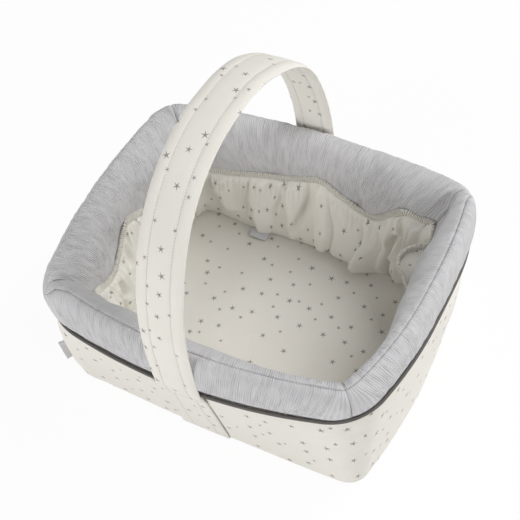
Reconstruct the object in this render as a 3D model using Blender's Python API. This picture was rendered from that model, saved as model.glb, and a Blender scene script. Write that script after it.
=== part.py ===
"""A padded fabric layette basket with a carrying handle, modelled as its separate sewn-in pieces.

The origin is on the floor at the middle of the base, +X runs along the long sides, +Y to the back and +Z up.
Every layer of the wall is placed by its inset, the distance inwards from the outer face of the skirt.
"""

import math

import bmesh
import bpy

# Plan of the basket, in metres: corner to corner on the outer face of the skirt, and how far each side's
# middle stands out past its corners
BASE_LENGTH = 0.335
BASE_WIDTH = 0.268
WALL_FLARE = 0.0015
BASE_BOW_LONG = 0.003
BASE_BOW_SHORT = 0.009
WALL_BOW_LONG = 0.020
WALL_BOW_SHORT = 0.0265
CREST_BOW_LONG = 0.019
CREST_BOW_SHORT = 0.0255

# How far each corner's rounding reaches along its sides
CORNER_REACH_BASE = 0.022
CORNER_REACH_WALL = 0.036
CORNER_REACH_CREST = 0.014
CORNER_REACH_LEAST = 0.004
REACH_LOSS_SHARE = 0.6
CORNER_SHARE = 0.2

# How late a liner edge turns towards its neighbour's: the power of the share along a side
CORNER_EASE = 3

# The gathered side's rows above the floor: how high each is, and how deep its folds are
LINER_FOLD_SHARES = ((0.5, 1.0), (1.0, 0.3))

# Rows of points on a crowned face, from its edge to near its middle
CAP_SHARES = (1.0, 0.75, 0.45, 0.15)

# Heights above the floor
PIPING_HEIGHT = 0.117
RIM_HEIGHT = 0.171

# Layers of the wall, from the outside in
FIT_GAP = 0.0003
LAYER_GAP = 0.0006
CLOTH = 0.001
SKIRT_WADDING = 0.006
WALL_BOARD = 0.0025
WALL_DEPTH = 0.031
WALL_BOARD_TOP_COVER = 0.018

# Padded rim, as insets and heights of its rolled section
RIM_OUTER_BULGE = 0.0025
RIM_FOOT_INSET = 0.0005
CREST_INSET = 0.006
OUTER_SHOULDER = 0.026
INNER_SHOULDER = 0.042
RIM_INNER_BULGE = 0.004

# Piping cord and the flange that is sewn into the seam
PIPING_RADIUS = 0.0018
PIPING_FLANGE = 0.0008
PIPING_FLANGE_DEPTH = 0.006
PIPING_PROUD_SHARE = 0.5

# Base
BASE_CLOTH = 0.0012
BASE_BOARD = 0.003
PAD_THICKNESS = 0.030
PAD_EDGE_ROUND = 0.008
PAD_CROWN = 0.002

# Gathered liner
LINER_CLOTH = 0.0008
LINER_STANDOFF_LONG = 0.016
LINER_STANDOFF_SHORT = 0.0045
LINER_FOLD = 0.0035
LINER_FOLDS_LONG = 9
LINER_FOLDS_SHORT = 7
ELASTIC_RADIUS = 0.0022
LINER_TOP_FRONT = 0.098
LINER_TOP_RIGHT = 0.104
LINER_TOP_BACK = 0.118
LINER_TOP_LEFT = 0.102
LINER_CORNER_DROP = 0.010

# Handle strap, from its stitched feet on the skirt over the top
STRAP_WIDTH = 0.050
STRAP_TOP = 0.355
STRAP_STRAIGHT_ABOVE_PIPING = 0.033
STRAP_FOOT_BELOW_PIPING = 0.010
STRAP_HINGE_ABOVE_PIPING = 0.003
STRAP_CLEARANCE = 0.0006
STRAP_CLOTH = 0.001
STRAP_FOAM = 0.003
STRAP_WEBBING = 0.0012
STRAP_EDGE_ROUND = 0.002
STRAP_ROUNDNESS = 2.3
WEBBING_WIDTH_SHARE = 0.7

# Flat tails that carry the strap down to the base seam
TAIL_TOP_WIDTH = 0.050
TAIL_BASE_WIDTH = 0.057
TAIL_CLOTH = 0.0016
TAIL_LAP = 0.005

# Small cloth tags, both bare
SIDE_TAG_TALL = 0.030
SIDE_TAG_OUT = 0.008
SIDE_TAG_THICK = 0.0014
SIDE_TAG_TOP = 0.075
CARE_TAG_LONG = 0.022
CARE_TAG_WIDE = 0.015
CARE_TAG_THICK = 0.0006
CARE_TAG_SHIFT = 0.056

# How finely curves are cut into facets
CORNER_STEPS = 2
SIDE_STEPS = 6
SHOULDER_STEPS = 4
EDGE_STEPS = 3
STRAP_STEPS = 30
LINER_STEPS_A_FOLD = 3
ELASTIC_SIDES = 5
PIPING_SIDES = 6
TAIL_STEPS = 4

# Levels that follow from the sizes above
BOARD_BASE = BASE_CLOTH + FIT_GAP
BOARD_TOP = BOARD_BASE + BASE_BOARD
STANDING = BOARD_TOP + FIT_GAP
PAD_TOP = STANDING + PAD_THICKNESS
LINER_BASE = PAD_TOP + FIT_GAP
WADDING_OUT = CLOTH + LAYER_GAP
WADDING_IN = WADDING_OUT + SKIRT_WADDING
BOARD_OUT = WADDING_IN + LAYER_GAP
BOARD_IN = BOARD_OUT + WALL_BOARD
RIM_FOOT = PIPING_HEIGHT + PIPING_RADIUS + FIT_GAP
SKIRT_TOP = PIPING_HEIGHT - PIPING_RADIUS - FIT_GAP
WALL_BOARD_TOP = RIM_HEIGHT - WALL_BOARD_TOP_COVER
STRAP_THICK = 2 * STRAP_CLOTH + STRAP_FOAM + STRAP_WEBBING + 3 * FIT_GAP
HINGE_HEIGHT = PIPING_HEIGHT + STRAP_HINGE_ABOVE_PIPING
STRAP_FOOT = PIPING_HEIGHT - STRAP_FOOT_BELOW_PIPING

# Heights at which every upright face of the wall has a row of points, so that its layers bend alike
WALL_ROWS = (PAD_TOP - PAD_EDGE_ROUND, PAD_TOP, (PAD_TOP + PIPING_HEIGHT) / 2, PIPING_HEIGHT)

SIDES = ("front", "right", "back", "left")


def mix(a, b, share):
    return a + (b - a) * share


def wall_sizes(side, z, inset):
    """Half length along a side, distance out to its corners, its bow, its neighbour's bow and corner reach."""
    rise = min(max(z / PIPING_HEIGHT, 0.0), 1.0)
    roll = min(max((z - PIPING_HEIGHT) / (RIM_HEIGHT - PIPING_HEIGHT), 0.0), 1.0)
    half_length = BASE_LENGTH / 2 + WALL_FLARE * rise - inset
    half_width = BASE_WIDTH / 2 + WALL_FLARE * rise - inset
    bow_long = mix(mix(BASE_BOW_LONG, WALL_BOW_LONG, rise), CREST_BOW_LONG, roll)
    bow_short = mix(mix(BASE_BOW_SHORT, WALL_BOW_SHORT, rise), CREST_BOW_SHORT, roll)
    reach = mix(mix(CORNER_REACH_BASE, CORNER_REACH_WALL, rise), CORNER_REACH_CREST, roll)
    reach = max(reach - REACH_LOSS_SHARE * inset, CORNER_REACH_LEAST)
    if side in ("front", "back"):
        return half_length, half_width, bow_long, bow_short, reach
    return half_width, half_length, bow_short, bow_long, reach


def bowed(along, half, out, bow):
    """How far out a bowed side stands at a distance along from its middle."""
    return out + bow * (1 - (along / half) ** 2)


def plan_point(side, share, z, inset, trim=0.0):
    """Plan point on a side's outline: share runs from -1 to 1, from one corner's mitre to the next."""
    half, out, bow, next_bow, reach = wall_sizes(side, z, inset)
    along_share = abs(share)
    straight = 1 - CORNER_SHARE
    if along_share <= straight:
        along = (half - reach) * along_share / straight
        away = bowed(along, half, out, bow)
    else:
        t = (along_share - straight) / CORNER_SHARE / 2
        swell = bowed(half - reach, half, out, bow) - out
        next_swell = bowed(out - reach, out, half, next_bow) - half
        cut = (next_swell - swell) / 8 * (2 * t) ** 2
        along = half - (1 - t) ** 2 * reach + t**2 * swell + cut
        away = out + (1 - t) ** 2 * swell - t**2 * reach + cut
    along = math.copysign(along - trim * (along_share == 1), share)
    if side == "front":
        return along, -away
    if side == "right":
        return away, along
    if side == "back":
        return -along, away
    return -away, -along


def side_shares():
    """Shares along one side, close together where the corners turn."""
    straight = 1 - CORNER_SHARE
    corner = [straight + CORNER_SHARE * i / CORNER_STEPS for i in range(1, CORNER_STEPS + 1)]
    middle = [straight * (2 * i / SIDE_STEPS - 1) for i in range(SIDE_STEPS + 1)]
    return [-s for s in reversed(corner)] + middle + corner


def material(name, colour, roughness):
    made = bpy.data.materials.get(name)
    if made is None:
        made = bpy.data.materials.new(name)
        made.use_nodes = True
        shader = made.node_tree.nodes["Principled BSDF"]
        shader.inputs["Base Color"].default_value = (*colour, 1.0)
        shader.inputs["Roughness"].default_value = roughness
        shader.inputs["Metallic"].default_value = 0.0
    return made


def crepe():
    return material("grey_crepe", (0.52, 0.53, 0.56), 0.85)


def star_cotton():
    return material("star_cotton", (0.87, 0.85, 0.78), 0.85)


def fill():
    return material("wadding", (0.90, 0.90, 0.88), 0.95)


def board():
    return material("board", (0.55, 0.46, 0.35), 0.80)


def dark_cord():
    return material("dark_piping", (0.10, 0.10, 0.095), 0.60)


def tape():
    return material("tape", (0.60, 0.61, 0.63), 0.70)


def add_object(name, points, faces, finish, origin=(0.0, 0.0, 0.0)):
    """Makes one closed mesh object, its origin where the piece turns or stands."""
    mesh = bpy.data.meshes.new(name)
    mesh.from_pydata([[p[i] - origin[i] for i in range(3)] for p in points], [], faces)
    body = bmesh.new()
    body.from_mesh(mesh)
    bmesh.ops.recalc_face_normals(body, faces=body.faces)
    body.to_mesh(mesh)
    body.free()
    mesh.shade_smooth()
    mesh.set_sharp_from_angle(angle=math.radians(35))
    mesh.materials.append(finish)
    obj = bpy.data.objects.new(name, mesh)
    obj.location = origin
    bpy.context.scene.collection.objects.link(obj)
    return obj


def loft(rows, closed_run):
    """Points and faces of a solid swept through rows of equal length. Each row is one closed section.

    Each four-sided face is cut from its lower corner in one row to its higher corner in the next, so that
    layers that lie on each other bend along the same lines. A run that closes on itself has no end faces.
    """
    count = len(rows[0])
    points = [p for row in rows for p in row]
    faces = []
    last = len(rows) if closed_run else len(rows) - 1
    for i in range(last):
        here = i * count
        there = (i + 1) % len(rows) * count
        for j in range(count):
            k = (j + 1) % count
            if rows[i][k][2] >= rows[i][j][2]:
                faces.append((here + j, here + k, there + k))
                faces.append((here + j, there + k, there + j))
            else:
                faces.append((here + j, here + k, there + j))
                faces.append((here + k, there + k, there + j))
    if not closed_run:
        faces.append(tuple(reversed(range(count))))
        faces.append(tuple((len(rows) - 1) * count + j for j in range(count)))
    return points, faces


def side_solid(name, side, section, finish):
    """One side's piece: a closed section of (inset, height) points, swept from mitre to mitre."""
    rows = []
    for share in side_shares():
        row = []
        for inset, z in section:
            x, y = plan_point(side, share, z, inset, FIT_GAP)
            row.append((x, y, z))
        rows.append(row)
    return add_object(name, *loft(rows, False), finish)


def ring_solid(name, section, finish):
    """A piece that goes right round the basket."""
    rows = []
    for side in SIDES:
        for share in side_shares()[:-1]:
            rows.append([(*plan_point(side, share, z, inset), z) for inset, z in section])
    return add_object(name, *loft(rows, True), finish)


def outline_row(z, inset_at):
    """One closed outline at a height. inset_at gives the inset for each side and share."""
    row = []
    for side in SIDES:
        for share in side_shares()[:-1]:
            row.append((*plan_point(side, share, z, inset_at(side, share)), z))
    return row


def even(inset):
    """The same inset all round."""
    return lambda side, share: inset


def arc(centre_inset, centre_z, reach_in, reach_up, start, end, steps):
    """Quarter of an ellipse in (inset, height), with its angles in degrees. 0 points to the inside."""
    path = []
    for i in range(steps + 1):
        angle = math.radians(mix(start, end, i / steps))
        path.append((centre_inset + reach_in * math.cos(angle), centre_z + reach_up * math.sin(angle)))
    return path


def rim_outer_path():
    """Outer face of the padded rim, from just above the piping up to the crest seam."""
    widest = RIM_HEIGHT - OUTER_SHOULDER
    foot_reach = RIM_FOOT_INSET + RIM_OUTER_BULGE
    crest_reach = CREST_INSET + RIM_OUTER_BULGE
    lower = arc(RIM_FOOT_INSET, widest, foot_reach, widest - RIM_FOOT, 270, 180, SHOULDER_STEPS)
    upper = arc(CREST_INSET, widest, crest_reach, OUTER_SHOULDER, 180, 90, SHOULDER_STEPS)
    return lower + upper[1:]


def rim_inner_path():
    """Inner face of the padded rim, from the crest seam down to the base board."""
    deepest = WALL_DEPTH + RIM_INNER_BULGE
    shoulder = RIM_HEIGHT - INNER_SHOULDER
    upper = arc(CREST_INSET, shoulder, deepest - CREST_INSET, INNER_SHOULDER, 90, 0, SHOULDER_STEPS)
    lower = []
    for z in reversed(upright_heights(STANDING, shoulder)[:-1]):
        share = min((shoulder - z) / (shoulder - PAD_TOP), 1.0)
        swell = RIM_INNER_BULGE * (1 + math.cos(math.pi * share)) / 2
        lower.append((WALL_DEPTH + swell, z))
    return upper + lower


def moved_inside(path, depth):
    """The path of (inset, height) points, moved into the padding by depth."""
    result = []
    for i, (inset, z) in enumerate(path):
        before = path[max(i - 1, 0)]
        after = path[min(i + 1, len(path) - 1)]
        run = (after[0] - before[0], after[1] - before[1])
        size = math.hypot(*run)
        result.append((inset + depth * run[1] / size, z - depth * run[0] / size))
    return result


def level_ends(path, first_z, last_z):
    """Sets the heights at which a path starts and stops."""
    return [(path[0][0], first_z)] + path[1:-1] + [(path[-1][0], last_z)]


def make_rim():
    outer = rim_outer_path()
    inner = rim_inner_path()
    crest_gap = FIT_GAP / 2
    outer_face = outer[:-1] + [(CREST_INSET - crest_gap, RIM_HEIGHT)]
    inner_face = [(CREST_INSET + crest_gap, RIM_HEIGHT)] + inner[1:]
    outer_back = level_ends(moved_inside(outer, CLOTH), RIM_FOOT, RIM_HEIGHT - CLOTH)
    outer_back[-1] = (CREST_INSET - crest_gap, RIM_HEIGHT - CLOTH)
    inner_back = level_ends(moved_inside(inner, CLOTH), RIM_HEIGHT - CLOTH, STANDING)
    inner_back[0] = (CREST_INSET + crest_gap, RIM_HEIGHT - CLOTH)
    filling = moved_inside(outer + inner[1:], CLOTH + LAYER_GAP)
    filling = level_ends(filling, RIM_FOOT, STANDING)
    slot_out = BOARD_OUT - LAYER_GAP
    slot_in = BOARD_IN + LAYER_GAP
    slot_top = WALL_BOARD_TOP + LAYER_GAP
    slot = [(slot_in, z) for z in upright_heights(STANDING, slot_top)]
    slot += [(slot_out, slot_top), (slot_out, RIM_FOOT)]
    for side in SIDES:
        side_solid(f"rim_outer_{side}", side, outer_face + outer_back[::-1], crepe())
        side_solid(f"rim_inner_{side}", side, inner_face + inner_back[::-1], crepe())
        side_solid(f"rim_wadding_{side}", side, filling + slot, fill())


def upright_heights(bottom, top):
    """The heights of an upright face's points: its two ends, and the wall's rows between them."""
    margin = CLOTH + PIPING_RADIUS
    return [bottom] + [z for z in WALL_ROWS if bottom + margin < z < top - margin] + [top]


def upright_section(out_inset, in_inset, bottom, top):
    """A sheet that stands in the wall: up its outer face and down its inner one."""
    heights = upright_heights(bottom, top)
    return [(out_inset, z) for z in heights] + [(in_inset, z) for z in reversed(heights)]


def make_walls():
    flange_base = PIPING_HEIGHT - PIPING_FLANGE / 2 - FIT_GAP
    stiffener = upright_section(BOARD_OUT, BOARD_IN, STANDING, WALL_BOARD_TOP)
    filling = upright_section(WADDING_OUT, WADDING_IN, BOARD_BASE, flange_base)
    for side in SIDES:
        side_solid(f"wall_board_{side}", side, stiffener, board())
        side_solid(f"skirt_wadding_{side}", side, filling, fill())
    ring_solid("outer_skirt", upright_section(0.0, CLOTH, BOARD_BASE, SKIRT_TOP), star_cotton())


def make_piping():
    centre = -PIPING_RADIUS * PIPING_PROUD_SHARE
    half_flange = PIPING_FLANGE / 2
    mouth = math.degrees(math.asin(half_flange / PIPING_RADIUS))
    cord = arc(centre, PIPING_HEIGHT, PIPING_RADIUS, PIPING_RADIUS, 360 - mouth, mouth, PIPING_SIDES)
    flange_end = centre + PIPING_RADIUS + PIPING_FLANGE_DEPTH
    flange = [(flange_end, PIPING_HEIGHT + half_flange), (flange_end, PIPING_HEIGHT - half_flange)]
    ring_solid("piping", cord + flange, dark_cord())


def crown_height(x, y):
    """How far the pad's top has risen at a plan point, above the edge where its rounding starts."""
    inset = WALL_DEPTH + LAYER_GAP + PAD_EDGE_ROUND
    rise_x = max(0.0, 1 - (x / (BASE_LENGTH / 2 - inset)) ** 2)
    rise_y = max(0.0, 1 - (y / (BASE_WIDTH / 2 - inset)) ** 2)
    return PAD_CROWN * rise_x * rise_y


def crowned_rows(edge):
    """Rows from an outline towards its middle, lifted as the pad's top is."""
    rows = []
    for shrink in CAP_SHARES:
        rows.append([(x * shrink, y * shrink, z + crown_height(x * shrink, y * shrink)) for x, y, z in edge])
    return rows


def make_base():
    cloth = [outline_row(z, even(0.0)) for z in (0.0, BASE_CLOTH)]
    add_object("base_cloth", *loft(cloth, False), star_cotton())
    stiffener = [outline_row(z, even(BOARD_OUT)) for z in (BOARD_BASE, BOARD_TOP)]
    add_object("base_board", *loft(stiffener, False), board())

    pad_inset = WALL_DEPTH + LAYER_GAP
    levels = [(STANDING, 0.0)]
    for i in range(EDGE_STEPS):
        angle = math.pi / 2 * i / EDGE_STEPS
        drop = PAD_EDGE_ROUND * (1 - math.sin(angle))
        levels.append((PAD_TOP - drop, PAD_EDGE_ROUND * (1 - math.cos(angle))))
    rows = [outline_row(z, even(pad_inset + more)) for z, more in levels]
    rows += crowned_rows(outline_row(PAD_TOP, even(pad_inset + PAD_EDGE_ROUND)))
    add_object("base_pad", *loft(rows, False), fill())


def liner_inset(side, share):
    """Where the liner's floor is sewn to its gathered side: further in along the long sides."""
    middle = (LINER_STANDOFF_LONG + LINER_STANDOFF_SHORT) / 2
    own = LINER_STANDOFF_LONG if side in ("front", "back") else LINER_STANDOFF_SHORT
    return WALL_DEPTH + mix(own, middle, abs(share) ** CORNER_EASE)


def make_liner_floor():
    under = crowned_rows(outline_row(LINER_BASE, liner_inset))
    top = crowned_rows(outline_row(LINER_BASE + LINER_CLOTH, liner_inset))
    add_object("liner_floor", *loft(under[::-1] + top, False), star_cotton())


def liner_top(side, share):
    """Height of the elastic edge: pulled up along each side and slack at the corners."""
    tops = dict(zip(SIDES, (LINER_TOP_FRONT, LINER_TOP_RIGHT, LINER_TOP_BACK, LINER_TOP_LEFT)))
    here = tops[side]
    step = 1 if share > 0 else -1
    there = tops[SIDES[(SIDES.index(side) + step) % len(SIDES)]]
    return mix(here, (here + there) / 2 - LINER_CORNER_DROP, abs(share) ** CORNER_EASE)


def folds_on(side):
    return LINER_FOLDS_LONG if side in ("front", "back") else LINER_FOLDS_SHORT


def liner_run():
    """Every sample round the liner: its side, share and place in the fold, from 0 to 1."""
    for side in SIDES:
        steps = folds_on(side) * LINER_STEPS_A_FOLD
        for i in range(steps):
            yield side, 2 * i / steps - 1, (i % LINER_STEPS_A_FOLD) / LINER_STEPS_A_FOLD


def make_liner_side():
    """The gathered side: sewn to the floor, fullest at mid height and drawn in again under the elastic."""
    wall_face = WALL_DEPTH + RIM_INNER_BULGE + FIT_GAP
    rows = []
    for side, share, phase in liner_run():
        seam = liner_inset(side, share)
        wave = (1 - math.cos(2 * math.pi * phase)) / 2
        back = [(seam - FIT_GAP - LINER_CLOTH, LINER_BASE)]
        face = [(seam - FIT_GAP, LINER_BASE)]
        for rise, fold in LINER_FOLD_SHARES:
            inset = mix(seam, wall_face, rise) + LINER_FOLD * fold * wave
            z = mix(LINER_BASE, liner_top(side, share), rise)
            back.append((max(inset, wall_face), z))
            face.append((max(inset, wall_face) + LINER_CLOTH, z))
        rows.append([(*plan_point(side, share, z, inset), z) for inset, z in back + face[::-1]])
    add_object("liner_side", *loft(rows, True), star_cotton())


def make_elastic():
    """The overlocked elastic edge: a soft cord that lies on the lining, along the top of the gathered side."""
    wall_face = WALL_DEPTH + RIM_INNER_BULGE + FIT_GAP
    rows = []
    for side, share, _ in liner_run():
        centre = liner_top(side, share) + FIT_GAP + ELASTIC_RADIUS
        row = []
        for k in range(ELASTIC_SIDES):
            angle = 2 * math.pi * k / ELASTIC_SIDES
            z = centre - ELASTIC_RADIUS * math.cos(angle)
            inset = wall_face + ELASTIC_RADIUS * (1 + math.sin(angle))
            row.append((*plan_point(side, share, z, inset), z))
        rows.append(row)
    add_object("liner_elastic", *loft(rows, True), star_cotton())


def strap_middle():
    """Half the distance between the strap's two legs, to the middle of the strap's thickness."""
    rim_face = BASE_WIDTH / 2 + WALL_FLARE + WALL_BOW_LONG + RIM_OUTER_BULGE
    return rim_face + STRAP_CLEARANCE + STRAP_THICK / 2


def strap_line():
    """Middle line of the strap in the plane x = 0: straight feet, then one round arch over the basket."""
    half_span = strap_middle()
    spring = PIPING_HEIGHT + STRAP_STRAIGHT_ABOVE_PIPING
    rise = STRAP_TOP - STRAP_THICK / 2 - spring
    line = [(-half_span, STRAP_FOOT)]
    for i in range(STRAP_STEPS + 1):
        angle = math.pi * i / STRAP_STEPS
        across = math.copysign(abs(math.cos(angle)) ** (2 / STRAP_ROUNDNESS), math.cos(angle))
        line.append((-half_span * across, spring + rise * math.sin(angle) ** (2 / STRAP_ROUNDNESS)))
    line.append((half_span, STRAP_FOOT))
    return line


def strap_frames():
    """For each point of the strap's line, the point and its outward direction."""
    line = strap_line()
    frames = []
    for i, point in enumerate(line):
        before = line[max(i - 1, 0)]
        after = line[min(i + 1, len(line) - 1)]
        run = (after[0] - before[0], after[1] - before[1])
        size = math.hypot(*run)
        frames.append((point, (-run[1] / size, run[0] / size)))
    return frames


def strap_rows(section):
    """Rows of a closed section of (x, offset out) points, carried along the strap."""
    rows = []
    for (y, z), (out_y, out_z) in strap_frames():
        rows.append([(x, y + out_y * offset, z + out_z * offset) for x, offset in section])
    return rows


def flat_section(width, low, high):
    """A rectangle across the strap, turned so that its faces point out."""
    return [(-width / 2, low), (-width / 2, high), (width / 2, high), (width / 2, low)]


def rounded_section(width, low, high, cut):
    """The same with its four corners cut."""
    left, right = -width / 2, width / 2
    return [
        (left, low + cut), (left, high - cut), (left + cut, high), (right - cut, high),
        (right, high - cut), (right, low + cut), (right - cut, low), (left + cut, low),
    ]


def make_strap():
    hinge = (0.0, 0.0, HINGE_HEIGHT)
    low, high = -STRAP_THICK / 2, STRAP_THICK / 2
    outer = strap_rows(rounded_section(STRAP_WIDTH, low, high, STRAP_EDGE_ROUND))
    inner_width = STRAP_WIDTH - 2 * STRAP_CLOTH
    inner_cut = STRAP_EDGE_ROUND - STRAP_CLOTH / 2
    inner = strap_rows(rounded_section(inner_width, low + STRAP_CLOTH, high - STRAP_CLOTH, inner_cut))
    count = len(outer[0])
    # The sleeve is swept as one closed run: out along its outer face and back along its hollow
    points, faces = [], []
    for row in outer + inner[::-1]:
        points.extend(row)
    total = len(outer) * 2
    for i in range(total):
        here, there = i * count, (i + 1) % total * count
        for j in range(count):
            k = (j + 1) % count
            faces.append((here + j, here + k, there + k, there + j))
    add_object("handle_cover", points, faces, star_cotton(), hinge)

    webbing_low = low + STRAP_CLOTH + FIT_GAP
    webbing_high = webbing_low + STRAP_WEBBING
    foam_low = webbing_high + FIT_GAP
    foam_high = foam_low + STRAP_FOAM
    foam_width = inner_width - 2 * inner_cut
    foam = strap_rows(flat_section(foam_width, foam_low, foam_high))
    add_object("handle_foam", *loft(foam, False), fill(), hinge)
    webbing_width = foam_width * WEBBING_WIDTH_SHARE
    webbing = strap_rows(flat_section(webbing_width, webbing_low, webbing_high))
    add_object("handle_webbing", *loft(webbing, False), tape(), hinge)


def make_tails():
    """The tails lie flat on the skirt. Their folded tops stand out to the strap's feet."""
    folded = STRAP_FOOT - TAIL_LAP
    strap_face = strap_middle() - STRAP_THICK / 2 - FIT_GAP
    heights = upright_heights(BOARD_BASE, folded) + [STRAP_FOOT, SKIRT_TOP]
    for side, turn in (("front", 1), ("back", -1)):
        rows = []
        for z in heights:
            half_width = mix(TAIL_BASE_WIDTH, TAIL_TOP_WIDTH, (z - BOARD_BASE) / (SKIRT_TOP - BOARD_BASE)) / 2
            half, out, bow, _, _ = wall_sizes(side, z, 0.0)
            face, back = [], []
            for i in range(TAIL_STEPS + 1):
                x = half_width * (2 * i / TAIL_STEPS - 1)
                skirt = bowed(x, half, out, bow) + FIT_GAP
                back.append((turn * x, -turn * skirt, z))
                face.append((turn * x, -turn * (strap_face if z > folded else skirt + TAIL_CLOTH), z))
            rows.append(face + back[::-1])
        add_object(f"handle_tail_{side}", *loft(rows, False), star_cotton())


def box_points(low, high):
    (x0, y0, z0), (x1, y1, z1) = low, high
    return [
        (x0, y0, z0), (x1, y0, z0), (x1, y1, z0), (x0, y1, z0),
        (x0, y0, z1), (x1, y0, z1), (x1, y1, z1), (x0, y1, z1),
    ]


BOX_FACES = [(3, 2, 1, 0), (4, 5, 6, 7), (0, 1, 5, 4), (1, 2, 6, 5), (2, 3, 7, 6), (3, 0, 4, 7)]


def make_tags():
    # The folded side tag stands out from the skirt's front left corner
    rows = []
    for z in (SIDE_TAG_TOP - SIDE_TAG_TALL, SIDE_TAG_TOP):
        x, y = plan_point("left", 1.0, z, 0.0)
        out = math.sqrt(0.5)
        root, tip = FIT_GAP + SIDE_TAG_THICK / 2, FIT_GAP + SIDE_TAG_THICK / 2 + SIDE_TAG_OUT
        half = SIDE_TAG_THICK / 2
        row = []
        for reach, across in ((root, -half), (tip, -half), (tip, half), (root, half)):
            row.append((x - out * reach + out * across, y - out * reach - out * across, z))
        rows.append(row)
    add_object("side_tag", *loft(rows, False), tape())

    # The care tag lies on the liner's floor, beside the back seam
    back_y = plan_point("back", 0.0, LINER_BASE, liner_inset("back", 0.0))[1]
    front_y = back_y - CARE_TAG_WIDE - LINER_FOLD
    floor = LINER_BASE + LINER_CLOTH + crown_height(0.0, front_y) + FIT_GAP
    low = (-CARE_TAG_SHIFT - CARE_TAG_LONG / 2, front_y, floor)
    high = (low[0] + CARE_TAG_LONG, low[1] + CARE_TAG_WIDE, floor + CARE_TAG_THICK)
    add_object("care_tag", box_points(low, high), BOX_FACES, tape())


def main():
    for old in list(bpy.data.objects):
        bpy.data.objects.remove(old)
    make_base()
    make_walls()
    make_rim()
    make_piping()
    make_liner_floor()
    make_liner_side()
    make_elastic()
    make_strap()
    make_tails()
    make_tags()


main()
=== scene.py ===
import math
import bpy
import numpy as np
from mathutils import Matrix, Vector


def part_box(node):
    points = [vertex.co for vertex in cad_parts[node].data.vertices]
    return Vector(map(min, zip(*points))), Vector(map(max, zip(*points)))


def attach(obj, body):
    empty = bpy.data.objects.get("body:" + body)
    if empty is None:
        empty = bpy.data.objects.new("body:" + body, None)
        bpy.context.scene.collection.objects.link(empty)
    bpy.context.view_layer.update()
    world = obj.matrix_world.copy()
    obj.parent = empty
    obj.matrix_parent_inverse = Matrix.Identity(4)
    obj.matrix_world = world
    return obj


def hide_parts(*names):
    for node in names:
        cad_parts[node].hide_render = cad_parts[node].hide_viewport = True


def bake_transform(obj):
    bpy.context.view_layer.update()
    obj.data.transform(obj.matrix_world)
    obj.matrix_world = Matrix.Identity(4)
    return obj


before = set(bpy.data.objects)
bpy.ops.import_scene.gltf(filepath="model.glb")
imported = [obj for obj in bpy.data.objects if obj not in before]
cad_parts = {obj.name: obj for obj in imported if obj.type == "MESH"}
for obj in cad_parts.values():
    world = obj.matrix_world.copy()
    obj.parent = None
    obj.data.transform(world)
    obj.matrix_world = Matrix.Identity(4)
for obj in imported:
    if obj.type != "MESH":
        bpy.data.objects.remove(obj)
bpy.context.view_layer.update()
print("frame loaded:", len(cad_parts), "nodes")

sideNames = ("front", "right", "back", "left")

basket = {  # the wall's own sizes, the same as the solids have
    "length": 0.335,
    "width": 0.268,
    "flare": 0.0015,
    "bowLong": (0.003, 0.020, 0.019),  # at the base, the piping and the crest
    "bowShort": (0.009, 0.0265, 0.0255),
    "cornerReach": (0.022, 0.036, 0.014),
    "leastReach": 0.004,
    "reachLoss": 0.6,
    "cornerShare": 0.2,
    "piping": 0.117,
    "crest": 0.171,
    "depth": 0.031,  # from the skirt's face to the rim's inner face
    "bulge": 0.004,
    "padTop": 0.0348,
    "station": 0.00125,  # metres between two rows of points
}

# How far the soft basket has settled, in metres, at the base, the piping and the crest
settling = {
    "power": 1.4,
    "reach": (0.134, 0.107),
    "corners": {  # (right, back): shift in x and y
        (1, -1): ((0.0011, -0.0050), (-0.0018, 0.0024), (-0.0008, -0.0013)),
        (-1, -1): ((-0.0050, 0.0040), (-0.0010, -0.0018), (0.0010, 0.0023)),
        (-1, 1): ((0.0, 0.0), (-0.0007, 0.0), (-0.0046, 0.0006)),
        (1, 1): ((0.0, 0.0), (0.0060, 0.0006), (0.0108, 0.0006)),
    },
    "sides": {  # (axis, which way): shift outwards and up
        (1, -1): ((0.0009, 0.0), (0.0024, -0.0006), (0.0006, -0.0003)),
        (0, 1): ((0.0050, 0.0), (-0.0034, 0.0), (-0.0012, 0.0006)),
        (1, 1): ((0.0, 0.0), (0.0, 0.0), (-0.0008, -0.0004)),
        (0, -1): ((0.0, 0.0), (-0.0015, 0.0), (-0.0058, -0.0010)),
    },
}

# The rim is thinner inside three of its corners: by how many metres, and the shares of the side
# where that starts and where it is full
tucks = {
    ("front", -1): (0.008, 0.40, 1.0), ("left", 1): (0.008, 0.40, 1.0),
    ("front", 1): (0.0145, -0.10, 0.75), ("right", -1): (0.0145, -0.10, 0.60),
    ("right", 1): (0.018, 0.30, 1.0), ("back", -1): (0.018, 0.62, 1.0),
}
tuckFade = {"rim": (0.115, 0.035), "liner": (0.045, 0.05)}  # height where it starts, and over how many metres


def mix(a, b, share):
    return a + (b - a) * share


def eased(value):
    value = np.clip(value, 0, 1)
    return value * value * (3 - 2 * value)


# From 0 at the start to 1 one reach further on
def ramp(value, start, reach):
    return eased((value - start) / reach)


# From 1 in the middle down to 0 past its half width
def bell(offset, halfWidth):
    return np.exp(-((offset / halfWidth) ** 2))


# Rises like a quarter round from 0 at a seam to 1
def pillow(distance, reach):
    return np.sqrt(np.clip(1 - (1 - np.clip(distance / reach, 0, 1)) ** 2, 0, 1))


def byLevel(values, z):
    rise = np.clip(z / basket["piping"], 0, 1)
    roll = np.clip((z - basket["piping"]) / (basket["crest"] - basket["piping"]), 0, 1)
    return mix(mix(values[0], values[1], rise), values[2], roll)


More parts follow.
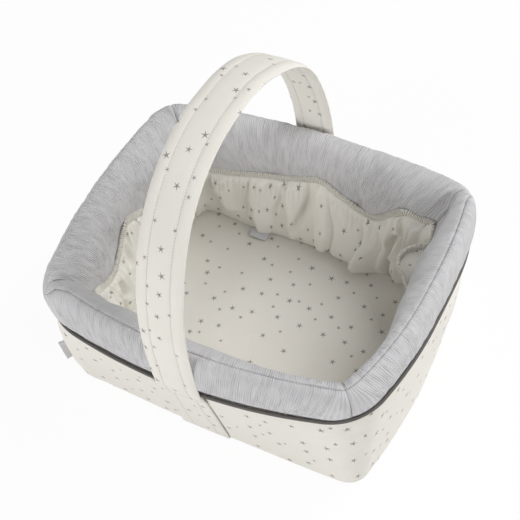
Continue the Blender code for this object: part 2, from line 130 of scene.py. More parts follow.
def tucked(side, share, z, inset):
    fade = mix(0.5, 1, ramp(z, *tuckFade["rim"])) * ramp(z, *tuckFade["liner"])
    for end in (-1, 1):
        deep, start, full = tucks.get((side, end), (0.0, 0.0, 1.0))
        nearEnd = ramp(share * end, start, full - start) * fade
        inset = inset - deep * nearEnd * np.clip(inset / basket["depth"], 0, 1) ** 2
    return inset


def planPoints(side, share, z, inset, tuck=True):
    share, z, inset = np.broadcast_arrays(np.asarray(share, float), z, inset)
    inset = tucked(side, share, z, inset) if tuck else inset
    flare = basket["flare"] * np.clip(z / basket["piping"], 0, 1)
    half = basket["length"] / 2 + flare - inset
    out = basket["width"] / 2 + flare - inset
    bow, nextBow = byLevel(basket["bowLong"], z), byLevel(basket["bowShort"], z)
    reach = np.maximum(byLevel(basket["cornerReach"], z) - basket["reachLoss"] * inset, basket["leastReach"])
    if side in ("right", "left"):
        half, out, bow, nextBow = out, half, nextBow, bow
    size, straight = np.abs(share), 1 - basket["cornerShare"]
    t = np.clip((size - straight) / basket["cornerShare"] / 2, 0, None)
    swell = bow * (1 - ((half - reach) / half) ** 2)
    nextSwell = nextBow * (1 - ((out - reach) / out) ** 2)
    cut = (nextSwell - swell) / 8 * (2 * t) ** 2
    flatAlong = (half - reach) * size / straight
    along = half - (1 - t) ** 2 * reach + t**2 * swell + cut
    away = out + (1 - t) ** 2 * swell - t**2 * reach + cut
    along = np.where(size <= straight, flatAlong, along) * np.sign(share)
    away = np.where(size <= straight, out + bow * (1 - (flatAlong / half) ** 2), away)
    turns = {"front": (along, -away), "right": (away, along), "back": (-along, away), "left": (-away, -along)}
    return np.stack([*turns[side], z], -1)


# The soft basket leans and sags a little: its corners and the middles of its sides have moved
def settled(points):
    moved = points.copy()
    z = points[..., 2]
    share = [points[..., axis] / settling["reach"][axis] for axis in (0, 1)]
    for (right, back), shifts in settling["corners"].items():
        weight = np.clip(share[0] * right, 0, 1) * np.clip(share[1] * back, 0, 1)
        for axis in (0, 1):
            moved[..., axis] += weight ** settling["power"] * byLevel([shift[axis] for shift in shifts], z)
    for (axis, way), shifts in settling["sides"].items():
        middle = np.clip(1 - share[1 - axis] ** 2, 0, 1)
        weight = np.clip(share[axis] * way, 0, 1) ** settling["power"] * middle
        moved[..., axis] += way * weight * byLevel([shift[0] for shift in shifts], z)
        moved[..., 2] += weight * byLevel([shift[1] for shift in shifts], z)
    return moved


# One fixed random number from 0 to 1 for each whole-numbered cell
def lattice(cells, seed):
    value = cells[..., 0] * 127.1 + cells[..., 1] * 311.7 + cells[..., 2] * 74.7 + seed * 53.9
    return np.modf(np.abs(np.sin(value) * 43758.5453))[0]


# Smooth noise from -1 to 1. size is its grain in metres, one number or one for each axis
def softNoise(points, size, seed=0):
    scaled = np.asarray(points, float) / np.asarray(size, float) + 1000.5
    base = np.floor(scaled)
    part = scaled - base
    part = part * part * (3 - 2 * part)
    total = 0.0
    for i in (0, 1):
        for j in (0, 1):
            for k in (0, 1):
                weight = (
                    (part[..., 0] if i else 1 - part[..., 0])
                    * (part[..., 1] if j else 1 - part[..., 1])
                    * (part[..., 2] if k else 1 - part[..., 2])
                )
                total = total + weight * lattice(base + (i, j, k), seed)
    return total * 2 - 1


# The same noise over a surface measured in metres along and across
def sectionNoise(along, across, size, seed=0):
    along, across = np.broadcast_arrays(along, across)
    return softNoise(np.stack([along, across, np.zeros_like(along)], -1), (*size, 1.0), seed)


# Metres along a run of points, from its first
def runLength(points):
    steps = np.linalg.norm(np.diff(points, axis=0), axis=1)
    return np.concatenate([[0.0], np.cumsum(steps)])


# The same run, with points this far apart
def evenly(points, spacing):
    length = runLength(points)
    count = max(int(round(length[-1] / spacing)), 2)
    at = np.linspace(0, length[-1], count + 1)
    return np.stack([np.interp(at, length, points[:, i]) for i in range(points.shape[1])], -1)


# Shares along one side whose points at this height lie evenly
def sideShares(side, z, inset, spacing):
    share = np.linspace(-1, 1, 801)
    length = runLength(planPoints(side, share, z, inset))
    count = int(round(length[-1] / spacing))
    return np.interp(np.linspace(0, length[-1], count + 1), length, share)


def arcPath(centre, reach, start, end, count):
    angle = np.radians(np.linspace(start, end, count))
    return np.stack([centre[0] + reach[0] * np.cos(angle), centre[1] + reach[1] * np.sin(angle)], -1)


def linkObject(name, mesh, finish=None):
    made = bpy.data.objects.new(name, mesh)
    bpy.context.scene.collection.objects.link(made)
    if finish is not None:
        mesh.materials.clear()
        mesh.materials.append(finish)
    return made


# A smooth cloth mesh, with a uv for each of its points or for each corner of its faces
def clothObject(name, points, faces, uv, finish, thickness=0.0):
    mesh = bpy.data.meshes.new(name)
    mesh.from_pydata(points.tolist(), [], faces)
    if len(uv) == len(points):
        corners = np.empty(len(mesh.loops), np.int32)
        mesh.loops.foreach_get("vertex_index", corners)
        uv = uv[corners]
    mesh.uv_layers.new(name="clothUv").data.foreach_set("uv", uv.astype(np.float32).ravel())
    mesh.shade_smooth()
    made = linkObject(name, mesh, finish)
    if thickness:
        shell = made.modifiers.new("clothThickness", "SOLIDIFY")
        shell.thickness = thickness
        shell.offset = -1
    return made


# Cloth from a grid of points, along by up. uv has one more row than a closed grid
def gridObject(name, grid, uv, finish, closed=False, thickness=0.0):
    rows, columns = grid.shape[:2]
    last = rows if closed else rows - 1
    i, j = (index.ravel() for index in np.meshgrid(np.arange(last), np.arange(columns - 1), indexing="ij"))
    here, there = i * columns + j, (i + 1) % rows * columns + j
    faces = np.stack([here, there, there + 1, here + 1], -1)
    corners = np.stack([uv[i, j], uv[i + 1, j], uv[i + 1, j + 1], uv[i, j + 1]], 1).reshape(-1, 2)
    return clothObject(name, grid.reshape(-1, 3), faces.tolist(), corners, finish, thickness)


# Metres along and up the cloth, measured on the surface
def gridUv(grid):
    along, up = runLength(grid[:, grid.shape[1] // 2]), runLength(grid[grid.shape[0] // 2])
    return np.stack(np.meshgrid(along, up, indexing="ij"), -1)


# Faces between closed rows of points, each row joined to the next
def tubeFaces(rows, count):
    faces = []
    for i in range(rows - 1):
        for k in range(count):
            n = (k + 1) % count
            faces.append((i * count + k, i * count + n, (i + 1) * count + n, (i + 1) * count + k))
    return faces


# A closed tube from rows of closed sections, with its two ends filled
def capped(name, grid, finish, uv=None):
    rows, count = grid.shape[:2]
    faces = tubeFaces(rows, count)
    faces.append(tuple(range(count))[::-1])
    faces.append(tuple((rows - 1) * count + k for k in range(count)))
    uv = np.zeros((rows, count, 2)) if uv is None else uv
    return clothObject(name, grid.reshape(-1, 3), faces, uv.reshape(-1, 2), finish)


# A piece that stays on the basket, with the solid it stands for hidden
def onBasket(piece, node=None):
    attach(piece, "basket")
    if node:
        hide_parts(node)
    return piece


def addNode(tree, kind, inputs=None, **settings):
    made = tree.nodes.new(kind)
    for key, value in settings.items():
        setattr(made, key, value)
    for key, value in (inputs or {}).items():
        if isinstance(value, bpy.types.NodeSocket):
            tree.links.new(value, made.inputs[key])
        else:
            made.inputs[key].default_value = value
    return made


def maths(tree, operation, *values):
    made = addNode(tree, "ShaderNodeMath", dict(enumerate(values)), operation=operation)
    return made.outputs[0]


def vectorMaths(tree, operation, *values):
    made = addNode(tree, "ShaderNodeVectorMath", dict(enumerate(values)), operation=operation)
    return made.outputs[0]


def scaledBy(tree, vector, factor):
    return addNode(tree, "ShaderNodeVectorMath", {0: vector, 3: factor}, operation="SCALE").outputs[0]


def noiseNode(tree, place, scale, detail, roughness=0.5):
    values = {"Vector": place, "Scale": scale, "Detail": detail, "Roughness": roughness}
    return addNode(tree, "ShaderNodeTexNoise", values).outputs


def rangeNode(tree, value, limits, results=(0.0, 1.0), kind="LINEAR"):
    low, high = limits
    values = {"Value": value, "From Min": low, "From Max": high, "To Min": results[0], "To Max": results[1]}
    return addNode(tree, "ShaderNodeMapRange", values, interpolation_type=kind).outputs[0]


def newGroup(name, inputs, outputs):
    tree = bpy.data.node_groups.new(name, "ShaderNodeTree")
    for label, kind, value in inputs:
        socket = tree.interface.new_socket(label, in_out="INPUT", socket_type=kind)
        if value is not None:
            socket.default_value = value
    for label, kind in outputs:
        tree.interface.new_socket(label, in_out="OUTPUT", socket_type=kind)
    return tree, tree.nodes.new("NodeGroupInput").outputs, tree.nodes.new("NodeGroupOutput").inputs


floatSocket, vectorSocket = "NodeSocketFloat", "NodeSocketVector"


star = {
    "arms": 5,
    "inner": 0.27,  # inner radius over outer radius
    "sizes": (0.88, 0.24),  # the least size, and how much chance adds
    "wander": 0.52,  # how much of its cell it moves in
    "softEdge": 0.00013,
}


# Small five-armed stars scattered one to a cell, each turned and moved by chance
def makeStarPrint():
    tree, given, result = newGroup(
        "starPrint",
        [("Place", vectorSocket, None), ("Cell", floatSocket, 0.027), ("Radius", floatSocket, 0.0034),
         ("Share", floatSocket, 0.95), ("Seed", floatSocket, 0.0)],
        [("Mask", floatSocket)],
    )
    half = (0.5, 0.5, 0.5)
    seed = addNode(tree, "ShaderNodeCombineXYZ", {axis: given["Seed"] for axis in range(3)}).outputs[0]
    scaled = scaledBy(tree, given["Place"], maths(tree, "DIVIDE", 1.0, given["Cell"]))
    shifted = vectorMaths(tree, "ADD", scaled, seed)
    flatCell = vectorMaths(tree, "MULTIPLY", vectorMaths(tree, "FLOOR", shifted), (1.0, 1.0, 0.0))
    values = {"Vector": flatCell, "W": given["Seed"]}
    chance = addNode(tree, "ShaderNodeTexWhiteNoise", values, noise_dimensions="4D").outputs
    turned = addNode(tree, "ShaderNodeSeparateXYZ", {0: chance["Color"]}).outputs[2]
    most = (star["wander"], star["wander"], 0.0)
    jitter = vectorMaths(tree, "MULTIPLY", vectorMaths(tree, "SUBTRACT", chance["Color"], half), most)
    local = vectorMaths(tree, "SUBTRACT", vectorMaths(tree, "FRACTION", shifted), half)
    place = scaledBy(tree, vectorMaths(tree, "SUBTRACT", local, jitter), given["Cell"])
    xy = addNode(tree, "ShaderNodeSeparateXYZ", {0: place}).outputs
    flat = addNode(tree, "ShaderNodeCombineXYZ", {0: xy[0], 1: xy[1]}).outputs[0]
    distance = addNode(tree, "ShaderNodeVectorMath", {0: flat}, operation="LENGTH").outputs["Value"]
    turn = maths(tree, "MULTIPLY", turned, 2 * math.pi)
    angle = maths(tree, "ADD", maths(tree, "ARCTAN2", xy[1], xy[0]), turn)
    armHalf = math.pi / star["arms"]
    fromArm = maths(tree, "PINGPONG", angle, armHalf)
    leastSize, moreSize = star["sizes"]
    size = maths(tree, "MULTIPLY_ADD", chance["Value"], moreSize, leastSize)
    radius = maths(tree, "MULTIPLY", given["Radius"], size)
    outX = maths(tree, "MULTIPLY", distance, maths(tree, "COSINE", fromArm))
    outY = maths(tree, "MULTIPLY", distance, maths(tree, "SINE", fromArm))
    normal = Vector((star["inner"] * math.sin(armHalf), 1 - star["inner"] * math.cos(armHalf))).normalized()
    edge = maths(tree, "MULTIPLY_ADD", outX, normal[0], maths(tree, "MULTIPLY", outY, normal[1]))
    edge = maths(tree, "SUBTRACT", edge, maths(tree, "MULTIPLY", radius, normal[0]))
    drawn = rangeNode(tree, edge, (-star["softEdge"], star["softEdge"]), (1.0, 0.0), "SMOOTHSTEP")
    kept = maths(tree, "LESS_THAN", chance["Value"], given["Share"])
    tree.links.new(maths(tree, "MULTIPLY", drawn, kept), result["Mask"])
    return tree


weaveNoise = {"wobble": 160.0, "slub": (900.0, 60.0, 60.0)}


# A plain weave of threads one across the other. Place is in metres
def makeWeave():
    tree, given, result = newGroup(
        "plainWeave",
        [("Place", vectorSocket, None), ("Thread", floatSocket, 0.0005)],
        [("Height", floatSocket), ("Slub", floatSocket)],
    )
    scale = maths(tree, "DIVIDE", math.pi, given["Thread"])
    scaled = scaledBy(tree, given["Place"], scale)
    wobble = noiseNode(tree, given["Place"], weaveNoise["wobble"], 2.0)["Color"]
    parts = addNode(tree, "ShaderNodeSeparateXYZ", {0: vectorMaths(tree, "ADD", scaled, wobble)}).outputs
    over = maths(tree, "MULTIPLY", maths(tree, "SINE", parts[0]), maths(tree, "SINE", parts[1]))
    tree.links.new(maths(tree, "MULTIPLY_ADD", over, 0.5, 0.5), result["Height"])
    stretched = vectorMaths(tree, "MULTIPLY", given["Place"], weaveNoise["slub"])
    tree.links.new(noiseNode(tree, stretched, 1.0, 3.0)[0], result["Slub"])
    return tree


crinkle = {
    "bends": (110.0, 40.0),
    "patches": (170.0, 60.0),
    "fine": (560.0, 50.0),
    "patchLimits": (0.32, 0.62),
    "leastRidge": 0.15,
    "waveShare": 0.42,
    "fineShare": 0.9,
}


# Crepe: fine wavy ridges that run across the cloth and fade in and out. Its second output marks their
# hollows, for painted shade
def makeCrinkle():
    tree, given, result = newGroup(
        "crepeCrinkle",
        [("Place", vectorSocket, None), ("Ridge", floatSocket, 0.0023), ("Wander", floatSocket, 0.0009)],
        [("Height", floatSocket), ("HollowShade", floatSocket)],
    )

    def noise(scale, detail, roughness=0.5):
        place = vectorMaths(tree, "MULTIPLY", given["Place"], (*scale, 1.0))
        return noiseNode(tree, place, 1.0, detail, roughness)[0]

    across = addNode(tree, "ShaderNodeSeparateXYZ", {0: given["Place"]}).outputs[0]
    drift = maths(tree, "SUBTRACT", noise(crinkle["bends"], 3.0, 0.55), 0.5)
    bend = maths(tree, "MULTIPLY", drift, given["Wander"])
    ridges = maths(tree, "DIVIDE", maths(tree, "MULTIPLY_ADD", bend, 4.0, across), given["Ridge"])
    wave = maths(tree, "SINE", maths(tree, "MULTIPLY", ridges, 2 * math.pi))
    strength = (crinkle["leastRidge"], 1.0)
    patch = rangeNode(tree, noise(crinkle["patches"], 2.0), crinkle["patchLimits"], strength)
    fine = maths(tree, "SUBTRACT", noise(crinkle["fine"], 2.0), 0.5)
    ground = maths(tree, "MULTIPLY_ADD", fine, crinkle["fineShare"], 0.5)
    height = maths(tree, "MULTIPLY_ADD", wave, maths(tree, "MULTIPLY", patch, crinkle["waveShare"]), ground)
    tree.links.new(height, result["Height"])
    tree.links.new(rangeNode(tree, height, (0.95, 0.05)), result["HollowShade"])
    return tree


starPrint, plainWeave, crepeCrinkle = makeStarPrint(), makeWeave(), makeCrinkle()


def startMaterial(name, roughness, sheen=0.0):
    made = bpy.data.materials.new(name)
    made.use_nodes = True
    tree = made.node_tree
    shader = tree.nodes["Principled BSDF"]
    shader.inputs["Roughness"].default_value = roughness
    shader.inputs["Metallic"].default_value = 0.0
    shader.inputs["Specular IOR Level"].default_value = 0.25
    shader.inputs["Sheen Weight"].default_value = sheen
    shader.inputs["Sheen Roughness"].default_value = 0.6
    return made, tree, shader


def clothPlace(tree, onSurface):
    if onSurface:
        return addNode(tree, "ShaderNodeUVMap", uv_map="clothUv").outputs[0]
    return addNode(tree, "ShaderNodeTexCoord").outputs["Object"]


def mixColour(tree, share, a, b):
    made = addNode(tree, "ShaderNodeMix", data_type="RGBA")
    for socket, value in ((made.inputs[0], share), (made.inputs[6], a), (made.inputs[7], b)):
        if isinstance(value, bpy.types.NodeSocket):
            tree.links.new(value, socket)
        else:
            socket.default_value = value
    return made.outputs[2]


def bump(tree, shader, height, distance, strength=1.0):
    made = addNode(tree, "ShaderNodeBump", {"Height": height, "Distance": distance, "Strength": strength})
    tree.links.new(made.outputs[0], shader.inputs["Normal"])


cotton = {
    "cream": (0.800, 0.777, 0.722, 1.0),
    "creamShade": (0.765, 0.738, 0.675, 1.0),
    "starGrey": (0.170, 0.160, 0.150, 1.0),
    "thread": 0.00052,
    "cell": 0.0265,
    "stars": ((0.0043, 0.78, 0.0), (0.0030, 0.55, 0.5)),  # radius, share of the cells that have one, seed
    "relief": 0.0006,
}


def makeStarCotton(name, seed):
    made, tree, shader = startMaterial(name, 0.88, 0.15)
    place = clothPlace(tree, True)
    values = {"Place": place, "Thread": cotton["thread"]}
    weave = addNode(tree, "ShaderNodeGroup", values, node_tree=plainWeave).outputs
    masks = []
    for radius, share, offset in cotton["stars"]:
        values = {"Place": place, "Cell": cotton["cell"], "Radius": radius, "Share": share}
        values["Seed"] = seed + offset
        masks.append(addNode(tree, "ShaderNodeGroup", values, node_tree=starPrint).outputs[0])
    ink = maths(tree, "MAXIMUM", *masks)
    rubbed = maths(tree, "MULTIPLY", ink, maths(tree, "MULTIPLY_ADD", weave["Slub"], 0.5, 0.58))
    ground = mixColour(tree, noiseNode(tree, place, 22.0, 2.0)[0], cotton["cream"], cotton["creamShade"])
    tree.links.new(mixColour(tree, rubbed, ground, cotton["starGrey"]), shader.inputs["Base Color"])
    wrinkle = noiseNode(tree, place, 120.0, 3.0)[0]
    bump(tree, shader, maths(tree, "MULTIPLY_ADD", weave["Height"], 0.10, wrinkle), cotton["relief"], 0.55)
    return made


# The ridge colour, and the darker hollow colour that is painted shade in the crinkle's hollows
crepe = {
    "ridge": (0.643, 0.637, 0.650, 1.0),
    "hollow": (0.487, 0.482, 0.492, 1.0),
    "fleck": (2600.0, 260.0, 1.0),
    "relief": 0.0008,
}


def makeCrepe():
    made, tree, shader = startMaterial("greyCrepe", 0.90, 0.25)
    place = clothPlace(tree, True)
    ridges = addNode(tree, "ShaderNodeGroup", {"Place": place}, node_tree=crepeCrinkle).outputs
    fleck = noiseNode(tree, vectorMaths(tree, "MULTIPLY", place, crepe["fleck"]), 1.0, 2.0)[0]
    # Painted shade: the crinkle's hollows take the darker colour
    shade = maths(tree, "MULTIPLY_ADD", ridges["HollowShade"], 0.75, maths(tree, "MULTIPLY", fleck, 0.25))
    tree.links.new(mixColour(tree, shade, crepe["ridge"], crepe["hollow"]), shader.inputs["Base Color"])
    bump(tree, shader, ridges["Height"], crepe["relief"])
    return made


# A soft fibre grain on Object coordinates
def makePlain(name, colour, shade, roughness, grain, depth, sheen=0.0):
    made, tree, shader = startMaterial(name, roughness, sheen)
    fibres = noiseNode(tree, clothPlace(tree, False), 1 / grain, 4.0, 0.6)[0]
    tree.links.new(mixColour(tree, fibres, (*colour, 1.0), (*shade, 1.0)), shader.inputs["Base Color"])
    bump(tree, shader, fibres, depth, 0.8)
    return made


# Colour, its shade, roughness, grain and depth in metres, and sheen
plainFinishes = {
    "pipingCloth": ((0.155, 0.147, 0.138), (0.100, 0.094, 0.087), 0.80, 0.0007, 0.0002),
    "waddingFill": ((0.84, 0.84, 0.82), (0.76, 0.76, 0.74), 0.97, 0.0030, 0.0010),
    # The boards are darker than real greyboard: card colour with painted shade, seen through the gaps between
    # panels
    "boardCardAndShade": ((0.190, 0.185, 0.180), (0.140, 0.136, 0.132), 0.85, 0.0020, 0.0001),
    "webbingTape": ((0.60, 0.60, 0.58), (0.52, 0.52, 0.50), 0.80, 0.0012, 0.0003),
    "creamThread": ((0.80, 0.78, 0.72), (0.70, 0.68, 0.61), 0.75, 0.0006, 0.0001, 0.2),
    # The strap's stitches are darker than cream thread: painted shade of the groove they sit in
    "shadedStrapThread": ((0.62, 0.59, 0.54), (0.54, 0.51, 0.46), 0.75, 0.0006, 0.0001, 0.2),
    # The elastic roll's core is darker than the cream cloth: painted shade between the overlock ribs
    "shadedGatherCloth": ((0.62, 0.59, 0.53), (0.52, 0.49, 0.43), 0.9, 0.0008, 0.0001),
    "lilacThread": ((0.44, 0.43, 0.46), (0.36, 0.35, 0.38), 0.75, 0.0006, 0.0001, 0.2),
    "greyTape": ((0.80, 0.80, 0.80), (0.64, 0.64, 0.65), 0.70, 0.0008, 0.0001),
    "careTape": ((0.66, 0.66, 0.68), (0.60, 0.60, 0.62), 0.60, 0.0008, 0.0001),
}
printSeeds = {"Skirt": 3.0, "Floor": 11.0, "Liner": 17.0, "Strap": 23.0}

starCotton = {name: makeStarCotton("starCotton" + name, seed) for name, seed in printSeeds.items()}
greyCrepe = makeCrepe()
finishes = {name: makePlain(name, *values) for name, values in plainFinishes.items()}
print("materials made")


def newTree(name, inputs):
    tree = bpy.data.node_groups.new(name, "GeometryNodeTree")
    tree.interface.new_socket("Geometry", in_out="INPUT", socket_type="NodeSocketGeometry")
    for label, kind, value in inputs:
        socket = tree.interface.new_socket(label, in_out="INPUT", socket_type=kind)
        if value is not None:
            socket.default_value = value
    tree.interface.new_socket("Geometry", in_out="OUTPUT", socket_type="NodeSocketGeometry")
    return tree, tree.nodes.new("NodeGroupInput").outputs, tree.nodes.new("NodeGroupOutput").inputs


def finishTree(tree, geometry, given, result):
    real = addNode(tree, "GeometryNodeRealizeInstances", {"Geometry": geometry})
    smooth = addNode(tree, "GeometryNodeSetShadeSmooth", {"Geometry": real.outputs[0]})
    values = {"Geometry": smooth.outputs[0], "Material": given["Finish"]}
    painted = addNode(tree, "GeometryNodeSetMaterial", values)
    tree.links.new(painted.outputs[0], result[0])
    return tree


def uprightCurve(tree, given):
    line = addNode(tree, "GeometryNodeMeshToCurve", {0: given["Geometry"]})
    return addNode(tree, "GeometryNodeSetCurveNormal", {"Curve": line.outputs[0]}, mode="Z_UP").outputs[0]


def pointsAlong(tree, curve, pitch):
    values = {"Curve": curve, "Length": pitch}
    return addNode(tree, "GeometryNodeCurveToPoints", values, mode="LENGTH").outputs


# A ring taller than it is wide
def tallRing(tree, sides, radius, tall):
    ring = addNode(tree, "GeometryNodeCurvePrimitiveCircle", {"Resolution": sides, "Radius": radius})
    size = addNode(tree, "ShaderNodeCombineXYZ", {0: 1.0, 1: tall, 2: 1.0})
    values = {"Geometry": ring.outputs[0], "Scale": size.outputs[0]}
    return addNode(tree, "GeometryNodeTransform", values).outputs[0]


# A cord along the given line, round or taller than it is wide
def makeCordTree():
    tree, given, result = newTree(
        "sewnCord",
        [("Radius", floatSocket, 0.0018), ("Tall", floatSocket, 1.0), ("Sides", "NodeSocketInt", 12),
         ("Finish", "NodeSocketMaterial", None)],
    )
    ring = tallRing(tree, given["Sides"], given["Radius"], given["Tall"])
    values = {"Curve": uprightCurve(tree, given), "Profile Curve": ring, "Fill Caps": True}
    return finishTree(tree, addNode(tree, "GeometryNodeCurveToMesh", values).outputs[0], given, result)


# One stitch after another along the given line, half sunk in the cloth
def makeStitchTree():
    tree, given, result = newTree(
        "stitchRun",
        [("Pitch", floatSocket, 0.0032), ("Stitch", floatSocket, 0.0023), ("Thickness", floatSocket, 0.0005),
         ("Finish", "NodeSocketMaterial", None)],
    )
    line = addNode(tree, "GeometryNodeMeshToCurve", {0: given["Geometry"]})
    points = pointsAlong(tree, line.outputs[0], given["Pitch"])
    ball = addNode(tree, "GeometryNodeMeshUVSphere", {"Segments": 6, "Rings": 5, "Radius": 0.5})
    across = given["Thickness"]
    size = addNode(tree, "ShaderNodeCombineXYZ", {0: across, 1: across, 2: given["Stitch"]}).outputs[0]
    turned = addNode(tree, "FunctionNodeAlignRotationToVector", {"Vector": points["Tangent"]}, axis="Z")
    values = {"Points": points[0], "Instance": ball.outputs[0], "Rotation": turned.outputs[0], "Scale": size}
    return finishTree(tree, addNode(tree, "GeometryNodeInstanceOnPoints", values).outputs[0], given, result)


# Ribs wrapped round an edge, close together
def makeOverlockTree():
    tree, given, result = newTree(
        "overlockLoops",
        [("Pitch", floatSocket, 0.0027), ("Loop", floatSocket, 0.0013), ("Tall", floatSocket, 2.0),
         ("Thread", floatSocket, 0.0008), ("Lean", floatSocket, 0.1), ("Unevenness", floatSocket, 0.12),
         ("Finish", "NodeSocketMaterial", None)],
    )
    points = pointsAlong(tree, uprightCurve(tree, given), given["Pitch"])
    loop = tallRing(tree, 12, given["Loop"], given["Tall"])
    strand = addNode(tree, "GeometryNodeCurvePrimitiveCircle", {"Resolution": 5, "Radius": given["Thread"]})
    ring = addNode(tree, "GeometryNodeCurveToMesh", {"Curve": loop, "Profile Curve": strand.outputs[0]})
    least = maths(tree, "MULTIPLY", given["Unevenness"], -1.0)
    values = {2: least, 3: given["Unevenness"], "Seed": 7}
    chance = addNode(tree, "FunctionNodeRandomValue", values, data_type="FLOAT")
    lean = maths(tree, "ADD", given["Lean"], chance.outputs[1])
    leaning = addNode(tree, "ShaderNodeCombineXYZ", {0: lean, 1: chance.outputs[1]}).outputs[0]
    values = {"Rotation": points["Rotation"], "Rotate By": leaning}
    turned = addNode(tree, "FunctionNodeRotateRotation", values, rotation_space="LOCAL")
    values = {"Points": points[0], "Instance": ring.outputs[0], "Rotation": turned.outputs[0]}
    return finishTree(tree, addNode(tree, "GeometryNodeInstanceOnPoints", values).outputs[0], given, result)


sewnCord, stitchRun, overlockLoops = makeCordTree(), makeStitchTree(), makeOverlockTree()


# Runs a node tree along lines of points, and keeps what it makes as a plain mesh
def grown(name, lines, tree, values, closed=False):
    points, edges = [], []
    for line in lines:
        first = len(points)
        points.extend(np.asarray(line).tolist())
        edges.extend((k, k + 1) for k in range(first, len(points) - 1))
        if closed:
            edges.append((len(points) - 1, first))
    mesh = bpy.data.meshes.new(name + "Line")
    mesh.from_pydata(points, edges, [])
    source = linkObject(name + "Line", mesh)
    growth = source.modifiers.new("growth", "NODES")
    growth.node_group = tree
    for item in tree.interface.items_tree:
        if item.item_type == "SOCKET" and item.in_out == "INPUT" and item.name in values:
            growth[item.identifier] = values[item.name]
    graph = bpy.context.evaluated_depsgraph_get()
    made = bpy.data.meshes.new_from_object(source.evaluated_get(graph), depsgraph=graph)
    bpy.data.objects.remove(source)
    made.name = name
    return linkObject(name, made)


rim = {
    "roll": (0.011, 0.017),  # how far the crest seam has rolled out, on the back and at the front left corner
    "foot": 0.1195,
    "footInset": 0.0005,
    "outerBulge": 0.0025,
    "crestInset": 0.006,
    "outerShoulder": 0.026,
    "innerShoulder": 0.042,
    "crestDip": 0.0003,
    "crestReach": 0.0045,
    "mitreDip": 0.0032,
    "mitreReach": 0.015,
    "fullness": (0.0030, 0.0006),  # outside, inside
    # Depth, grain along and across, and seed of each layer of lumps, puckers and waves
    "relief": (
        (0.0010, (0.055, 0.060), 1), (0.00030, (0.0032, 0.016), 2),
        (0.00048, (0.0080, 0.022), 3), (0.0007, (0.016, 0.070), 4),
    ),
    "seamPuckers": 0.0005,
    "mitreLine": (0.0011, 0.0020),  # depth and half width of the corner seam itself
    "crestLine": 0.004,  # inset of the line along which the crest is measured
    "spacing": 0.0014,
    "cloth": 0.0009,
}

# How strongly each end of a side is drawn in by its corner seam, as (outside, inside)
mitrePull = {
    "front": ((0.0, 1.5), (0.18, 0.45)),
    "right": ((0.18, 0.45), (0.15, 0.75)),
    "back": ((0.15, 0.75), (0.10, 0.50)),
    "left": ((0.10, 0.50), (0.0, 1.5)),
}

# Soft dents in the rim's inner face: side, share, half width as a share, depth in metres
rimDents = (
    ("back", -0.36, 0.05, 0.0022),
    ("back", -0.66, 0.04, 0.0018),
    ("back", 0.30, 0.07, 0.0012),
    ("left", 0.33, 0.06, 0.0012),
    ("left", -0.30, 0.06, 0.0008),
    ("right", 0.10, 0.06, 0.0012),
    ("front", -0.55, 0.05, 0.0012),
)
# The same just above the liner's edge: with metres from the crest seam, and half width there
hemDents = (("left", 0.30, 0.13, 0.0030, 0.072, 0.0160), ("back", -0.60, 0.05, 0.0020, 0.062, 0.0080))

# Where a side of the rim is fuller outside: share, half width as a share, metres
rimSwells = {"left": (0.10, 0.55, 0.0026), "back": (-0.42, 0.14, 0.0028)}


def rimOuterPath():
    widest = basket["crest"] - rim["outerShoulder"]
    foot, top = rim["footInset"], rim["crestInset"]
    lower = arcPath((foot, widest), (foot + rim["outerBulge"], widest - rim["foot"]), 270, 180, 40)
    upper = arcPath((top, widest), (top + rim["outerBulge"], rim["outerShoulder"]), 180, 90, 40)
    return evenly(np.concatenate([lower, upper[1:]]), rim["spacing"])


def rimInnerPath():
    shoulder = basket["crest"] - rim["innerShoulder"]
    deepest = basket["depth"] + basket["bulge"]
    top = rim["crestInset"]
    upper = arcPath((top, shoulder), (deepest - top, rim["innerShoulder"]), 90, 0, 60)
    z = np.linspace(shoulder, 0.012, 60)[1:]
    share = np.minimum((shoulder - z) / (shoulder - basket["padTop"]), 1)
    lower = np.stack([basket["depth"] + basket["bulge"] * (1 + np.cos(np.pi * share)) / 2, z], -1)
    return np.concatenate([evenly(upper, rim["spacing"]), evenly(lower, 0.0035)])


# How far the crest seam lies outside the crest, for each share of a side
def crestRoll(side, share):
    back, left = rim["roll"]
    most = {"front": left, "left": mix(back, left, ramp(share, -0.2, 1.2))}.get(side, back)
    turned = {"front": ramp(-share, 0.7, 0.3), "right": ramp(share, 0.7, 0.3)}.get(side, 1.0)
    return most * turned * np.ones_like(share)


# The seam closes up where it turns the front left corner
def seamHidden(side, share):
    towards = {"front": -share - 0.84, "left": share - 0.66}.get(side, 0 * share)
    return eased(towards / 0.10)


# Shares of a side's stations along the crest, and how many metres each lies from the first
def crestRun(side):
    share = sideShares(side, basket["crest"], rim["crestLine"], basket["station"])
    return share, runLength(planPoints(side, share, basket["crest"], rim["crestLine"]))


# Metres round the crest where each side starts, so that the cloth runs on round three of the corners
ringStart, ringLength = {}, 0.0
for side in ("right", "back", "left", "front"):
    ringStart[side] = ringLength
    ringLength += crestRun(side)[1][-1]


def sectionNormals(path):
    run = np.gradient(path, axis=0)
    run /= np.linalg.norm(run, axis=1)[:, None]
    return np.stack([-run[:, 1], run[:, 0]], -1)


